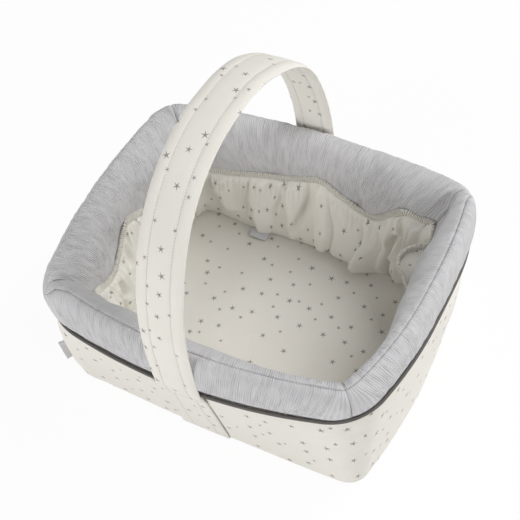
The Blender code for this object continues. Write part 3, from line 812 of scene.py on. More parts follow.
def makeRimPanel(side, part):
    outer, inner = rimOuterPath(), rimInnerPath()
    path = np.concatenate([outer, inner[1:]])
    run = runLength(path)
    share, along = crestRun(side)
    share, along, roll = share[:, None], along[:, None], crestRoll(side, share)[:, None]
    seamAt = runLength(outer)[-1] - roll
    if part == "outer":
        c = seamAt * np.linspace(0, 1, len(outer))[None, :]
    else:
        down = runLength(inner) / runLength(inner)[-1]
        c = seamAt + (run[-1] - seamAt) * down[None, :]
    place = np.stack([np.interp(c, run, path[:, k]) for k in (0, 1)], -1)
    normal = np.stack([np.interp(c, run, sectionNormals(path)[:, k]) for k in (0, 1)], -1)
    a = ringStart[side] + along + 0 * c
    below = c - seamAt
    fromCrest = np.abs(below)
    inside = eased(below / 0.02 + 0.5)
    fromMitre = np.minimum(along, along[-1] - along)
    inwards = eased((below - roll) / 0.03 + 0.5)
    pull = np.where(share < 0, *(mix(*end, inwards) for end in mitrePull[side]))
    mitre = 1 - pull * (1 - pillow(fromMitre, rim["mitreReach"]))
    shown = 1 - seamHidden(side, share)
    crest = mix(mix(1, 0.45, shown), 1, pillow(fromCrest, rim["crestReach"]))
    amount = mix(*rim["fullness"], inside) * np.ones_like(a)
    for depth, grain, seed in rim["relief"]:
        amount += depth * sectionNoise(a, c, grain, seed)
    amount += rim["seamPuckers"] * sectionNoise(a, c, (0.0042, 0.03), 6) * bell(fromCrest, 0.012) * shown
    amount = mix(amount, 0.25 * (amount - rim["fullness"][1]), ramp(below, 0.045, 0.02))
    centre, half, more = rimSwells.get(side, (0.0, 1.0, 0.0))
    amount += more * bell(share - centre, half) * (1 - inside)
    for where, centre, half, depth in rimDents:
        if where == side:
            bend = 0.03 * np.sin(below / 0.03)
            amount -= depth * bell(share + bend - centre, half) * eased(below / 0.030)
    for where, centre, half, depth, down, reach in hemDents:
        if where == side:
            amount -= depth * bell(share - centre, half) * bell(below - down, reach)
    mitreFade = mix(mix(0.55, 1.0, ramp(c, 0.012, 0.02)), 0.35, ramp(below, 0.05, 0.05))
    lineDepth, lineHalf = rim["mitreLine"]
    amount *= np.clip(mitre, 0, 1) * crest
    amount -= rim["crestDip"] * (1 - pillow(fromCrest, rim["crestReach"])) * shown
    amount -= rim["mitreDip"] * mitreFade * (1 - mitre)
    amount -= lineDepth * pull * bell(fromMitre, lineHalf) * mitreFade
    amount *= eased(c / 0.014)
    inset, z = np.moveaxis(place + amount[..., None] * normal, -1, 0)
    grid = settled(planPoints(side, share, z, inset))
    name = "rim" + part.capitalize() + side.capitalize()
    panel = gridObject(name, grid, np.stack([a, c], -1), greyCrepe, thickness=rim["cloth"])
    onBasket(panel, f"rim_{part}_{side}")
    return grid[:, -1] if part == "outer" else grid[:, 0]


crestLines = {}
for side in sideNames:
    crestLines[side] = makeRimPanel(side, "outer")
    makeRimPanel(side, "inner")
print("rim panels made")

# Thread along the crest seam where it shows: the shares of a side where it starts and ends
shownRows = {"front": (0.045, 1.0), "left": (0.0, 0.86)}
crestThread = {"Pitch": 0.0030, "Stitch": 0.0017, "Thickness": 0.00045, "Finish": finishes["lilacThread"]}
seamRuns = []
for side, line in crestLines.items():
    first, last = (int(share * len(line)) for share in shownRows.get(side, (0.0, 1.0)))
    seamRuns.append(line[first:last] + np.array((0, 0, 0.0002)))
onBasket(grown("crestStitches", seamRuns, stitchRun, crestThread))


skirt = {
    "foot": 0.0004,
    "top": 0.1153,
    "cloth": 0.0010,
    "quilting": 0.0006,
    "creases": 0.0011,
    "creasedEnds": {"front": (0.86, 0.16), "right": (-0.93, 0.10)},  # share and half width
    "sideBulge": (0.0018, 0.0042, 0.40, 0.32),  # all along the right side, and more round one share of it
    "bottomRound": (0.0032, 0.0036),  # how far in and how far up the bottom edge is rounded
    "cornerBulge": 0.0070,
    "bulgedEnds": {"front": (-1, 0.28), "left": (1, 0.34)},
    "bulgeHeights": (0.0, 0.008, 0.030, 0.066, 0.092, 0.11),
    "bulgeShares": (0.2, 0.33, 0.74, 1.0, 0.9, 0.4),
}


# Side and share of every station right round the basket
def ringStations(z, inset, spacing):
    return [(side, share) for side in sideNames for share in sideShares(side, z, inset, spacing)[:-1]]


# Points right round: z and inset are one value a column, or one for each station and column
def ringGrid(stations, z, inset):
    z, inset = np.broadcast_arrays(np.zeros((len(stations), 1)) + z, inset)
    grid = np.empty((*z.shape, 3))
    for side in sideNames:
        rows = [k for k, (name, share) in enumerate(stations) if name == side]
        shares = np.array([stations[k][1] for k in rows])
        grid[rows] = planPoints(side, shares[:, None], z[rows], inset[rows])
    return grid


def makeSkirt():
    stations = ringStations(0.08, 0.0, 0.0022)
    foot = [skirt["foot"], 0.0009, 0.0018, 0.0032, 0.0050]
    z = np.concatenate([foot, np.linspace(0.0075, skirt["top"], 50)])
    roundIn, roundUp = skirt["bottomRound"]
    inset = roundIn * (1 - pillow(z - skirt["foot"], roundUp))
    plain = ringGrid(stations, z, inset)
    length = runLength(np.concatenate([plain[:, 25], plain[:1, 25]]))
    a, c = np.broadcast_arrays(length[:-1, None], z[None, :])
    shares = np.array([share for name, share in stations])[:, None]
    isOn = {side: np.array([name == side for name, share in stations])[:, None] for side in sideNames}

    def near(ends):
        return sum(bell(shares - centre, half) * isOn[side] for side, (centre, half) in ends.items())

    puff = skirt["quilting"] * softNoise(plain, 0.035, 41)
    drift = c + 0.006 * sectionNoise(a, c, (0.05, 0.05), 43)
    ridges = 1 - 2 * np.abs(sectionNoise(a, drift, (0.045, 0.0085), 45)) ** 0.8
    puff += skirt["creases"] * near(skirt["creasedEnds"]) * ridges * ramp(z, 0.008, 0.02)
    fine = softNoise(plain * np.array((1, 1, 2.2)), 0.012, 47)
    puff += skirt["creases"] * 0.4 * fine * eased(np.abs(shares) - 0.55)
    least, more, centre, half = skirt["sideBulge"]
    bulge = (least + more * bell(shares - centre, half)) * isOn["right"] * eased((1 - np.abs(shares)) / 0.15)
    puff += bulge * eased(z / 0.08)
    atHeight = np.interp(z, skirt["bulgeHeights"], skirt["bulgeShares"])
    puff += skirt["cornerBulge"] * near(skirt["bulgedEnds"]) * atHeight
    puff *= pillow(skirt["top"] - z, 0.008) * pillow(z, 0.008)
    grid = settled(ringGrid(stations, z, inset - puff))
    uv = np.stack(np.broadcast_arrays(length[:, None], z[None, :]), -1)
    made = gridObject("outerSkirt", grid, uv, starCotton["Skirt"], closed=True, thickness=skirt["cloth"])
    onBasket(made, "outer_skirt")
    return grid[0]


frontLeftEdge = makeSkirt()

# shown: it stands further out on the right, by how many metres, round which share, and half width there
piping = {"radius": 0.0018, "proud": 0.0022, "shown": (0.0016, 0.62, 0.25)}


def makePiping():
    stations = ringStations(basket["piping"], 0.0, 0.003)
    most, centre, half = piping["shown"]
    shown = np.array([most * bell(share - centre, half) * (side == "right") for side, share in stations])
    line = settled(ringGrid(stations, basket["piping"], -piping["proud"] - shown[:, None]))[:, 0]
    line[:, 2] += 0.0005 * softNoise(line, 0.05, 61)
    values = {"Radius": piping["radius"], "Sides": 14, "Finish": finishes["pipingCloth"]}
    made = grown("piping", [line], sewnCord, values, closed=True)
    made.name = "pipingCord"
    onBasket(made, "piping")


makePiping()


# A round-cornered sheet from its outline: rings that close on a middle point
def discObject(name, outline, heights, finish, shrinks, thickness, underside=False):
    rings = []
    for shrink in shrinks:
        ring = outline * np.array((shrink, shrink, 1.0))
        ring[:, 2] = outline[:, 2] + heights(ring[:, 0], ring[:, 1])
        rings.append(ring)
    count = len(outline)
    middle = outline[:, 2].mean() + heights(np.zeros(1), np.zeros(1))[0]
    points = np.concatenate(rings + [np.array([[0.0, 0.0, middle]])])
    lastRing = (len(rings) - 1) * count
    faces = tubeFaces(len(rings), count)
    faces += [(lastRing + k, lastRing + (k + 1) % count, len(points) - 1) for k in range(count)]
    if underside:
        faces = [face[::-1] for face in faces]
    return clothObject(name, points, faces, points[:, :2] + 0.5, finish, thickness)


def makeBase():
    outline = settled(ringGrid(ringStations(0.0, 0.0, 0.004), 0.0001, 0.0029))[:, 0]

    def level(x, y):
        return 0 * x

    shrinks = np.linspace(1, 0.04, 22)
    made = discObject("baseCloth", outline, level, starCotton["Skirt"], shrinks, 0.0009, underside=True)
    onBasket(made, "base_cloth")


makeBase()
print("skirt, piping and base made")


liner = {
    "floor": 0.0359,
    "crown": 0.002,
    "tall": 0.075,  # from its floor seam to its edge, along the cloth
    "rows": 44,
    # Least and most metres between folds, seed, sharpness, and how far they wander
    "longFolds": (0.022, 0.044, 2.0, 0.72, 1.0),
    "middleFolds": (0.010, 0.020, 4.0, 0.8, 1.3),
    "smallFolds": (0.0040, 0.0070, 6.0, 0.9, 0.15),
    "wander": 0.016,
    "puffs": 0.0110,  # how far the cloth billows between two folds
    "gathers": 0.0034,  # the small pleats that the elastic draws in
    "billow": 0.0040,
    "creases": 0.0026,
    "ripple": 0.0007,
    "fullness": 1.32,
    "cloth": 0.0006,
    "wallGap": 0.0007,
    "hemTall": 0.0086,
    "hemThick": 0.0040,
    "hemSunk": 0.0012,  # how far the roll presses into the rim
    "rib": 0.00076,
    "ribPitch": 0.00222,
}

# The elastic edge: side, share, height, and how far it stands in from the rim
elasticEdge = (
    ("front", -0.95, 0.124, 0.000), ("front", -0.70, 0.110, 0.000), ("front", -0.25, 0.114, 0.001),
    ("front", 0.20, 0.102, 0.002), ("front", 0.55, 0.106, 0.000), ("front", 0.95, 0.100, 0.001),
    ("right", -0.60, 0.104, 0.000), ("right", -0.10, 0.097, 0.000), ("right", 0.30, 0.093, 0.000),
    ("right", 0.40, 0.093, 0.003), ("right", 0.449, 0.0935, 0.0075), ("right", 0.533, 0.095, 0.0135),
    ("right", 0.605, 0.0975, 0.0195), ("right", 0.695, 0.101, 0.0225), ("right", 0.765, 0.105, 0.0200),
    ("right", 0.800, 0.108, 0.0150), ("right", 0.820, 0.1115, 0.0080), ("right", 0.835, 0.1155, 0.0020),
    ("right", 0.870, 0.120, 0.000), ("right", 0.935, 0.1245, 0.000), ("back", -0.97, 0.1313, 0.000),
    ("back", -0.88, 0.131, 0.000), ("back", -0.79, 0.1327, 0.000), ("back", -0.7075, 0.1398, 0.000),
    ("back", -0.662, 0.1360, 0.000), ("back", -0.632, 0.121, 0.000), ("back", -0.549, 0.1095, 0.000),
    ("back", -0.479, 0.1073, 0.000), ("back", -0.362, 0.112, 0.000), ("back", -0.227, 0.123, 0.000),
    ("back", -0.135, 0.134, 0.000), ("back", -0.068, 0.1355, 0.000), ("back", 0.166, 0.122, 0.000),
    ("back", 0.353, 0.1185, 0.000), ("back", 0.606, 0.114, 0.000), ("back", 0.743, 0.115, 0.000),
    ("back", 0.93, 0.124, 0.000), ("left", -0.85, 0.117, 0.000), ("left", -0.50, 0.108, 0.001),
    ("left", -0.20, 0.1155, 0.000), ("left", -0.035, 0.127, 0.000), ("left", 0.070, 0.1315, 0.001),
    ("left", 0.138, 0.1225, 0.001), ("left", 0.220, 0.112, 0.000), ("left", 0.323, 0.1055, 0.000),
    ("left", 0.432, 0.100, 0.000), ("left", 0.541, 0.1008, 0.000), ("left", 0.666, 0.1077, 0.000),
    ("left", 0.790, 0.1165, 0.000), ("left", 0.938, 0.1290, 0.000),
)

# Where the liner's side is sewn to its floor: side, share, and metres in from the rim's inner face
floorEdge = (
    ("front", -0.9, 0.011), ("front", -0.4, 0.015), ("front", 0.4, 0.016), ("front", 0.9, 0.011),
    ("right", -0.5, 0.0055), ("right", 0.5, 0.0050), ("right", 0.95, 0.0110), ("back", -0.80, 0.0150),
    ("back", -0.685, 0.0120), ("back", -0.52, 0.0185), ("back", -0.30, 0.0140), ("back", -0.10, 0.0110),
    ("back", 0.28, 0.0110), ("back", 0.405, 0.0105), ("back", 0.534, 0.0070), ("back", 0.68, 0.0012),
    ("back", 0.80, 0.0008), ("back", 0.95, 0.0010), ("left", -0.90, 0.0015), ("left", 0.0, 0.0045),
    ("left", 0.6, 0.0060),
)

# Single folds of the liner: side, its line as pairs of share and height share, half width before and after,
# and depth inwards
linerFolds = (
    ("back", ((0.739, 0.88), (0.736, 0.57), (0.642, 0.30)), (0.020, 0.0018), 0.0060),
    ("back", ((0.449, 0.90), (0.452, 0.58), (0.433, 0.30), (0.393, 0.05)), (0.017, 0.0016), 0.0065),
    ("back", ((0.143, 0.95), (0.161, 0.69), (0.144, 0.43), (0.128, 0.10)), (0.016, 0.0016), 0.0065),
    ("back", ((-0.033, 0.92), (-0.028, 0.71), (0.042, 0.45), (0.101, 0.25)), 0.0045, -0.0075),
    ("back", ((-0.108, 0.99), (-0.079, 0.58), (-0.102, 0.24), (-0.126, 0.08)), (0.018, 0.0016), 0.0060),
    ("back", ((-0.500, 0.05), (-0.530, 0.50)), 0.012, 0.0050),
    ("back", ((-0.672, -0.05), (-0.674, 0.46), (-0.700, 0.60)), 0.0040, -0.0130),
    ("back", ((-0.590, 0.93), (-0.655, 0.62), (-0.700, 0.34)), 0.0055, 0.0060),
    ("back", ((-0.752, 0.48), (-0.738, 0.93)), 0.0035, -0.0110),
    ("back", ((-0.850, 0.55), (-0.860, 0.92)), 0.0120, 0.0040),
    ("left", ((0.230, 0.62), (0.215, 0.85)), 0.0060, -0.0080),
    ("left", ((0.500, 0.42), (0.490, 0.75)), 0.0040, -0.0090),
    ("left", ((0.590, 0.10), (0.560, 0.45)), 0.0050, -0.0100),
    ("left", ((0.380, 0.20), (0.370, 0.80)), 0.0100, 0.0040),
)


# How far in the rim's own inner face lies at each height
def rimFace(z):
    shoulder = basket["crest"] - rim["innerShoulder"]
    rise = np.clip((z - shoulder) / rim["innerShoulder"], 0, 1)
    share = np.clip((shoulder - z) / (shoulder - basket["padTop"]), 0, 1)
    upper = mix(rim["crestInset"], basket["depth"] + basket["bulge"], np.sqrt(1 - rise**2))
    return np.where(z > shoulder, upper, basket["depth"] + basket["bulge"] * (1 + np.cos(np.pi * share)) / 2)


def floorInset(place):
    return basket["depth"] + roundProfile(floorEdge, 2, place)


def roundPlace(side, share):
    return sideNames.index(side) * 2 + share + 1


# A value right round the basket from its keys, with the turns smoothed
def roundProfile(keys, column, place):
    at = np.array([roundPlace(key[0], key[1]) for key in keys])
    value = np.array([key[column] for key in keys])
    at = np.concatenate([at - 8, at, at + 8])
    value = np.concatenate([value] * 3)
    fine = np.linspace(-8, 16, 2401)
    rough = np.interp(fine, at, value)
    kernel = np.exp(-(np.arange(-9, 10) / 2.3) ** 2)
    smooth = np.convolve(rough, kernel / kernel.sum(), mode="same")
    return np.interp(place, fine, smooth)


def crownHeight(x, y):
    inset = basket["depth"] + 0.0086
    riseX = np.maximum(0.0, 1 - (x / (basket["length"] / 2 - inset)) ** 2)
    riseY = np.maximum(0.0, 1 - (y / (basket["width"] / 2 - inset)) ** 2)
    return liner["crown"] * riseX * riseY


# Places of the long folds along a closed run, unevenly spaced
def foldPlaces(length, least, most, seed):
    places, at, n = [], 0.0, 0
    while at < length:
        places.append(at)
        at += mix(least, most, lattice(np.array([n, seed, 3.0]), seed))
        n += 1
    return np.array(places) * length / at


# Puffs of cloth between sharp folds: 0 at each fold, 1 between two
def foldWave(at, places, length, sharpness):
    stretch = np.concatenate([places, [places[0] + length]])
    wrapped = (at - stretch[0]) % length + stretch[0]
    k = np.clip(np.searchsorted(stretch, wrapped, side="right") - 1, 0, len(places) - 1)
    share = (wrapped - stretch[k]) / (stretch[k + 1] - stretch[k])
    depth = 0.45 + 0.75 * lattice(np.stack([k, k * 0, k * 0 + 5.0], -1), 9)
    lean = np.where(lattice(np.stack([k, k * 0, k * 0 + 8.0], -1), 4) > 0.45, 1.7, 0.6)
    share = np.where(lean > 1, 1 - share, share)
    bent = np.where(share < 0.82, share / 0.82 * 0.5, 0.5 + (share - 0.82) / 0.18 * 0.5)
    return np.sin(np.pi * bent) ** sharpness * depth


def makeLiner():
    stations = ringStations(0.09, 0.036, 0.00125)
    place = np.array([roundPlace(side, share) for side, share in stations])
    top = roundProfile(elasticEdge, 2, place)[:, None] - 0.0014
    stand = roundProfile(elasticEdge, 3, place)[:, None]
    seam = floorInset(place)[:, None]
    v = np.linspace(0, 1, liner["rows"])[None, :]
    up = v * liner["tall"]
    flatRun = ringGrid(stations, 0.08, 0.036)[:, 0]
    along = runLength(np.concatenate([flatRun, flatRun[:1]]))
    a, total = along[:-1, None], along[-1]
    closing = eased(np.minimum(a, total - a) / 0.03)
    wander = closing * liner["wander"] * sectionNoise(a, up, (0.055, 0.050), 71)

    def folds(least, most, seed, sharpness, drift):
        return foldWave(a + wander * drift, foldPlaces(total, least, most, seed), total, sharpness)

    long, middle, small = (folds(*liner[key]) for key in ("longFolds", "middleFolds", "smallFolds"))
    patchy = 0.8 + 0.5 * sectionNoise(a, up, (0.075, 0.040), 73)
    longShare = np.sin(np.pi * (0.10 + 0.80 * v)) ** 0.7
    nearHem = ramp(v, 0.48, 0.40)
    halfUp = ramp(v, 0.15, 0.6) * mix(1, 0.4, nearHem)
    # Where the edge stands well in, the cloth goes up by the rim and flops over
    flop = eased(stand / 0.010)
    z = mix(liner["floor"] - 0.0010, top, mix(v, eased(v / 0.72) ** 0.8, flop))
    underHem = (1 - ramp(v, 0.865, 0.06)) * (1 - 0.85 * flop)
    face = rimFace(z) + liner["wallGap"]
    wall = face[:, -1:] - liner["wallGap"] + liner["hemThick"] / 2 - liner["hemSunk"]
    rise = eased(v**0.9)
    inset = mix(seam, wall, rise) + stand * mix(rise, ramp(v, 0.56, 0.44), flop)
    # The back's puffs come from the single folds instead
    calm = 1 - 0.6 * ramp(place, 4.7, 0.25) * eased((5.95 - place) / 0.2)
    inset += liner["puffs"] * long * longShare * patchy * mix(1, 0.35, nearHem) * underHem * calm[:, None]
    uneven = 0.7 + 0.6 * sectionNoise(a, up, (0.05, 0.03), 77)
    inset += liner["creases"] * middle * underHem * halfUp * uneven
    inset += liner["gathers"] * small * nearHem * underHem
    uneven = 0.7 + 0.5 * sectionNoise(a, 0 * v, (0.040, 1.0), 79)
    inset += liner["billow"] * uneven * np.sin(np.pi * np.clip(v / 0.45, 0, 1)) * (1 - flop)
    inset += liner["ripple"] * sectionNoise(a, v * 0.08, (0.012, 0.014), 75)
    for name, line, half, depth in linerFolds:
        at = np.interp(v[0], *zip(*sorted((height, roundPlace(name, share)) for share, height in line)))
        perShare = basket["length" if name in ("front", "back") else "width"] / 2
        low, high = min(height for share, height in line), max(height for share, height in line)
        shown = eased((v - low) / 0.10 + 0.5) * eased((high - v) / 0.10 + 0.5) * np.minimum(underHem + 0.2, 1)
        before, after = half if isinstance(half, tuple) else (half, half)
        offset = (place[:, None] - at) * perShare
        inset += depth * bell(offset, np.where(offset < 0, before, after)) * shown
    inset = mix(seam + 0 * v, np.maximum(inset, face), eased(v / 0.05))
    grid = settled(ringGrid(stations, z, inset))
    # The visible face looks into the basket, so the run goes round the other way
    length = along * liner["fullness"]
    uv = np.stack(np.broadcast_arrays(length[:, None], up), -1)
    finish = starCotton["Liner"]
    cloth = gridObject("linerSide", grid[::-1], uv[::-1], finish, closed=True, thickness=liner["cloth"])
    # The roll hangs from the cloth's edge, and lies on top of it where the cloth flops over
    lower = mix(liner["hemTall"] * 0.42, -0.0026, flop[:, 0])
    edge = grid[:, -1] - np.stack([0 * lower, 0 * lower, lower], -1)
    thick, tall = liner["hemThick"] / 2, liner["hemTall"] / liner["hemThick"]
    # The roll's core is coloured with painted shade, seen between the ribs
    values = {"Radius": thick - 0.0004, "Tall": tall, "Sides": 12, "Finish": finishes["shadedGatherCloth"]}
    elastic = grown("linerElastic", [edge], sewnCord, values, closed=True)
    values = {"Pitch": liner["ribPitch"], "Loop": thick, "Tall": tall, "Thread": liner["rib"], "Lean": 0.0,
              "Finish": finishes["creamThread"]}
    loops = grown("linerOverlock", [edge], overlockLoops, values, closed=True)
    onBasket(cloth, "liner_side")
    onBasket(elastic, "liner_elastic")
    onBasket(loops)


def makeLinerFloor():
    stations = ringStations(liner["floor"], 0.045, 0.0035)
    seam = floorInset(np.array([roundPlace(side, share) for side, share in stations])) - 0.0007
    outline = settled(ringGrid(stations, liner["floor"], seam[:, None]))[:, 0]

    def heights(x, y):
        place = np.stack([x, y, 0 * x], -1)
        return crownHeight(x, y) + 0.0007 * softNoise(place, 0.045, 81) + 0.0003 * softNoise(place, 0.014, 83)

    floor = discObject("linerFloor", outline, heights, starCotton["Floor"], np.linspace(1, 0.02, 56), 0.0007)
    onBasket(floor, "liner_floor")


makeLiner()
makeLinerFloor()
print("liner made")


# shift, narrow, sink and bank are pairs of a share of its line and a value: metres sideways,
# share of the width, metres down, and how many metres higher its left edge is
strap = {
    "width": 0.050,
    "thick": 0.0071,
    "top": 0.355,
    "foot": 0.1065,
    "spring": 0.150,
    "roundness": 2.3,
    "middle": 0.16215,
    "stitchAt": 0.0125,
    "dip": 0.0026,
    "edge": 0.0011,
    "sideCrown": 0.0011,  # how far each sewn channel rises
    "middleCrown": 0.0009,
    "ripple": 0.0005,
    "pucker": 0.00035,
    "flatFoot": 0.42,  # share of its thickness left at the feet
    "shift": (
        (0.0, -0.0060), (0.14, -0.0064), (0.22, -0.0060), (0.29, -0.0068), (0.35, -0.0078),
        (0.40, -0.0086), (0.48, -0.0104), (0.55, -0.0110), (0.62, -0.0096), (0.70, -0.0092),
        (0.78, -0.0106), (0.86, -0.0082), (0.94, -0.0078), (1.0, -0.0074),
    ),
    "narrow": (
        (0.0, 1.0), (0.15, 0.99), (0.30, 0.98), (0.36, 0.965), (0.41, 0.97), (0.48, 0.99), (0.56, 0.96),
        (0.62, 1.03), (0.70, 0.97), (0.78, 0.92), (0.85, 0.88), (0.93, 0.89), (1.0, 0.90),
    ),
    "sink": ((0.36, 0.0), (0.44, 0.0014), (0.54, 0.0056), (0.62, 0.0072), (0.68, 0.0062), (0.80, 0.0)),
    "bank": ((0.46, 0.0), (0.56, 0.0006), (0.63, 0.0010), (0.72, 0.0)),
    "bendStart": 0.112,
    "bendEnd": 0.182,
    # The strap's thread carries painted shade of its stitch groove
    "thread": {"Pitch": 0.0031, "Stitch": 0.0025, "Thickness": 0.0007, "Finish": finishes["shadedStrapThread"]},
    # Node, width, lowest and highest offset, finish and slot of what is inside
    "inside": {
        "handleFoam": ("handle_foam", 0.0410, 0.0004, 0.0013, "waddingFill", "wadding"),
        "handleWebbing": ("handle_webbing", 0.0300, -0.0012, -0.0002, "webbingTape", "tape"),
    },
}


def strapLine():
    half, rise = strap["middle"], strap["top"] - strap["thick"] / 2 - strap["spring"]
    angle = np.linspace(0, np.pi, 721)
    power = 2 / strap["roundness"]
    y = -half * np.sign(np.cos(angle)) * np.abs(np.cos(angle)) ** power
    z = strap["spring"] + rise * np.abs(np.sin(angle)) ** power
    foot = np.array([[-half, strap["foot"]]])
    return evenly(np.concatenate([foot, np.stack([y, z], -1), foot * (-1, 1)]), 0.0024)


# Half the padded strap's thickness across its width, with the two stitched channels
def strapHalfThickness(x):
    size = np.abs(x)
    inner = strap["stitchAt"]
    outerT = np.clip((size - inner) / (strap["width"] / 2 - strap["edge"] - inner), 0, 1)
    middleT = np.clip((x + inner) / (2 * inner), 0, 1)
    sideRise = strap["sideCrown"] * (1 - np.abs(2 * outerT - 1) ** 2.4)
    outer = mix(strap["dip"], strap["edge"], outerT) + sideRise
    middle = strap["dip"] + strap["middleCrown"] * (1 - np.abs(2 * middleT - 1) ** 3)
    return np.where(size > inner, outer, middle)


# Closed section as (x, offset out), out along the outer face and back along the inner one
def strapSection():
    half = strap["width"] / 2 - strap["edge"]
    inner = strap["stitchAt"]
    x = np.unique(np.concatenate([
        np.linspace(-half, -inner, 12), np.linspace(-inner, inner, 16), np.linspace(inner, half, 12),
        [-inner - 0.0006, -inner + 0.0006, inner - 0.0006, inner + 0.0006],
    ]).round(6))
    h = strapHalfThickness(x)
    turn = np.radians(np.linspace(90, -90, 7))[1:-1]
    right = np.stack([half + strap["edge"] * np.cos(turn), strap["edge"] * np.sin(turn)], -1)
    left = right[::-1] * (-1, 1)
    return np.concatenate([np.stack([x, h], -1), right, np.stack([x, -h], -1)[::-1], left])


# Points on the strap: x across, offset out from its middle line, for every row of the line
def strapPoints(x, offset):
    line = strapLine()
    out = sectionNormals(line)
    length = runLength(line)
    fromFoot = np.minimum(length, length[-1] - length)[:, None]
    flat = mix(strap["flatFoot"], 1.0, eased(fromFoot / 0.016))
    lean = 0.0012 * (1 - eased(fromFoot / 0.020))
    x = np.broadcast_to(x, (len(line), x.shape[-1]))
    ripple = strap["ripple"] * sectionNoise(length[:, None], x, (0.028, 0.016), 91) * np.sign(offset)
    off = offset * flat + ripple * eased(fromFoot / 0.03) - lean
    atStitch = bell(np.abs(x) - strap["stitchAt"], 0.0035)
    pucker = sectionNoise(length[:, None], x, (0.0055, 0.02), 97) * atStitch
    off = off + strap["pucker"] * pucker * np.sign(offset)

    def profile(key):
        value = np.interp(length / length[-1], *zip(*strap[key]))
        return np.convolve(np.pad(value, 8, mode="edge"), np.ones(17) / 17, mode="valid")[:, None]

    bank = profile("bank") * x / (strap["width"] / 2)
    x = x * profile("narrow")
    y, z = (line[:, k][:, None] + out[:, k][:, None] * off for k in (0, 1))
    return np.stack([x + profile("shift"), y, z - profile("sink") - bank], -1), length


# A piece of the handle, which keeps its place, with the solid it stands for hidden
def onHandle(piece, node=None):
    if node:
        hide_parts(node)
    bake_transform(piece)


def makeStrap():
    section = strapSection()
    grid, length = strapPoints(section[None, :, 0], section[None, :, 1])
    girth = runLength(np.concatenate([section, section[:1]]))
    across = np.where(section[:, 1] < 0, girth[:-1] + 0.1, section[:, 0])
    uv = np.stack(np.broadcast_arrays(across[None, :] + 0.3, length[:, None]), -1)
    cover = capped("handleCover", grid, starCotton["Strap"], uv)
    lines = []
    for x in (-strap["stitchAt"], strap["stitchAt"]):
        for face in (1, -1):
            points = strapPoints(np.array([[x]]), np.array([[face * (strap["dip"] + 0.0001)]]))[0]
            lines.append(points[:, 0])
    stitches = grown("handleTopstitch", lines, stitchRun, strap["thread"])
    for name, (node, width, low, high, finish, slot) in strap["inside"].items():
        corners = np.array([(-width / 2, low), (width / 2, low), (width / 2, high), (-width / 2, high)])[::-1]
        points = strapPoints(corners[None, :, 0], corners[None, :, 1])[0]
        onHandle(capped(name, points[1:-1], finishes[finish]), node)
    onHandle(cover, "handle_cover")
    onHandle(stitches)


makeStrap()

tail = {
    "topWidth": 0.050,
    "baseWidth": 0.057,
    "low": 0.0030,
    "high": 0.1135,
    "thick": 0.0015,
    "cloth": 0.0010,
    # The tail's thread carries the same painted groove shade
    "thread": {"Pitch": 0.0031, "Stitch": 0.0025, "Thickness": 0.0006, "Finish": finishes["shadedStrapThread"]},
}


# Points that lie on the skirt, off metres out from it
def tailPoints(side, x, z, off):
    turn = 1 if side == "front" else -1
    shift = strap["shift"][0 if side == "front" else -1][1]
    x, z, off = np.broadcast_arrays(x, z, off)
    flare = basket["flare"] * np.clip(z / basket["piping"], 0, 1)
    half, out = basket["length"] / 2 + flare, basket["width"] / 2 + flare
    away = out + byLevel(basket["bowLong"], z) * (1 - ((turn * x + shift) / half) ** 2) + off
    return settled(np.stack([turn * x + shift, -turn * away, z], -1))


def makeTail(side):
    z = np.linspace(tail["low"], tail["high"], 46)
    x = np.linspace(-1, 1, 41)
    width = mix(tail["baseWidth"], tail["topWidth"], (z - tail["low"]) / (tail["high"] - tail["low"])) / 2
    across = x[None, :] * width[:, None]
    stitch = width / 2
    fromStitch = np.abs(np.abs(across) - stitch[:, None])
    fromEdge = width[:, None] - np.abs(across)
    ripple = 0.0002 * sectionNoise(across, z[:, None], (0.02, 0.03), 95)
    off = tail["thick"] + 0.0005 * pillow(fromStitch, 0.0035) + ripple
    off = off * mix(0.5, 1.0, pillow(fromEdge, 0.0016))
    lift = 0.0016 * ramp(z, 0.088, 0.02)
    grid = tailPoints(side, across, z[:, None], off + lift[:, None])
    uv = np.stack(np.broadcast_arrays(across + (0.6 if side == "front" else 0.9), z[:, None] - 0.2), -1)
    name = "handleTail" + side.capitalize()
    grid, uv = np.swapaxes(grid, 0, 1), np.swapaxes(uv, 0, 1)
    made = gridObject(name, grid, uv, starCotton["Strap"], thickness=tail["cloth"])
    lines = [tailPoints(side, sign * stitch, z, tail["thick"] + lift + 0.0001) for sign in (-1, 1)]
    stitches = grown("tailTopstitch" + side.capitalize(), lines, stitchRun, tail["thread"])
    onBasket(made, "handle_tail_" + side)
    onBasket(stitches)


for side in ("front", "back"):
    makeTail(side)
print("handle made")


sideTag = {"tall": 0.033, "out": 0.0060, "top": 0.068, "thick": 0.0011, "cloth": 0.0003}
careTag = {"back": 0.0085, "up": 0.0012, "curl": 0.0025, "cloth": 0.0005}


def makeSideTag():
    z = np.linspace(sideTag["top"] - sideTag["tall"], sideTag["top"], 13)
    root = np.stack([np.interp(z, frontLeftEdge[:, 2], frontLeftEdge[:, axis]) for axis in (0, 1)] + [z], -1)
    outward = np.array((-math.sqrt(0.5), -math.sqrt(0.5), 0.0))
    sideways = np.array((math.sqrt(0.5), -math.sqrt(0.5), 0.0))
    reach = np.linspace(0, 1, 8)
    half = sideTag["thick"] / 2
    turn = np.array([(1.035, half * 0.7), (1.05, 0.0), (1.035, -half * 0.7)])
    there, back = np.stack([reach, half + 0 * reach], -1), np.stack([reach[::-1], -half + 0 * reach], -1)
    fold = np.concatenate([there, turn, back])[None]
    curl = 0.0016 * fold[..., 0:1] ** 2 * np.linspace(1, 0.3, 13)[:, None, None]
    out = 0.0002 + fold[..., 0:1] * sideTag["out"]
    grid = root[:, None] + outward * out + sideways * (fold[..., 1:2] + curl)
    made = gridObject("sideTag", grid, gridUv(grid), finishes["greyTape"], thickness=sideTag["cloth"])
    onBasket(made, "side_tag")


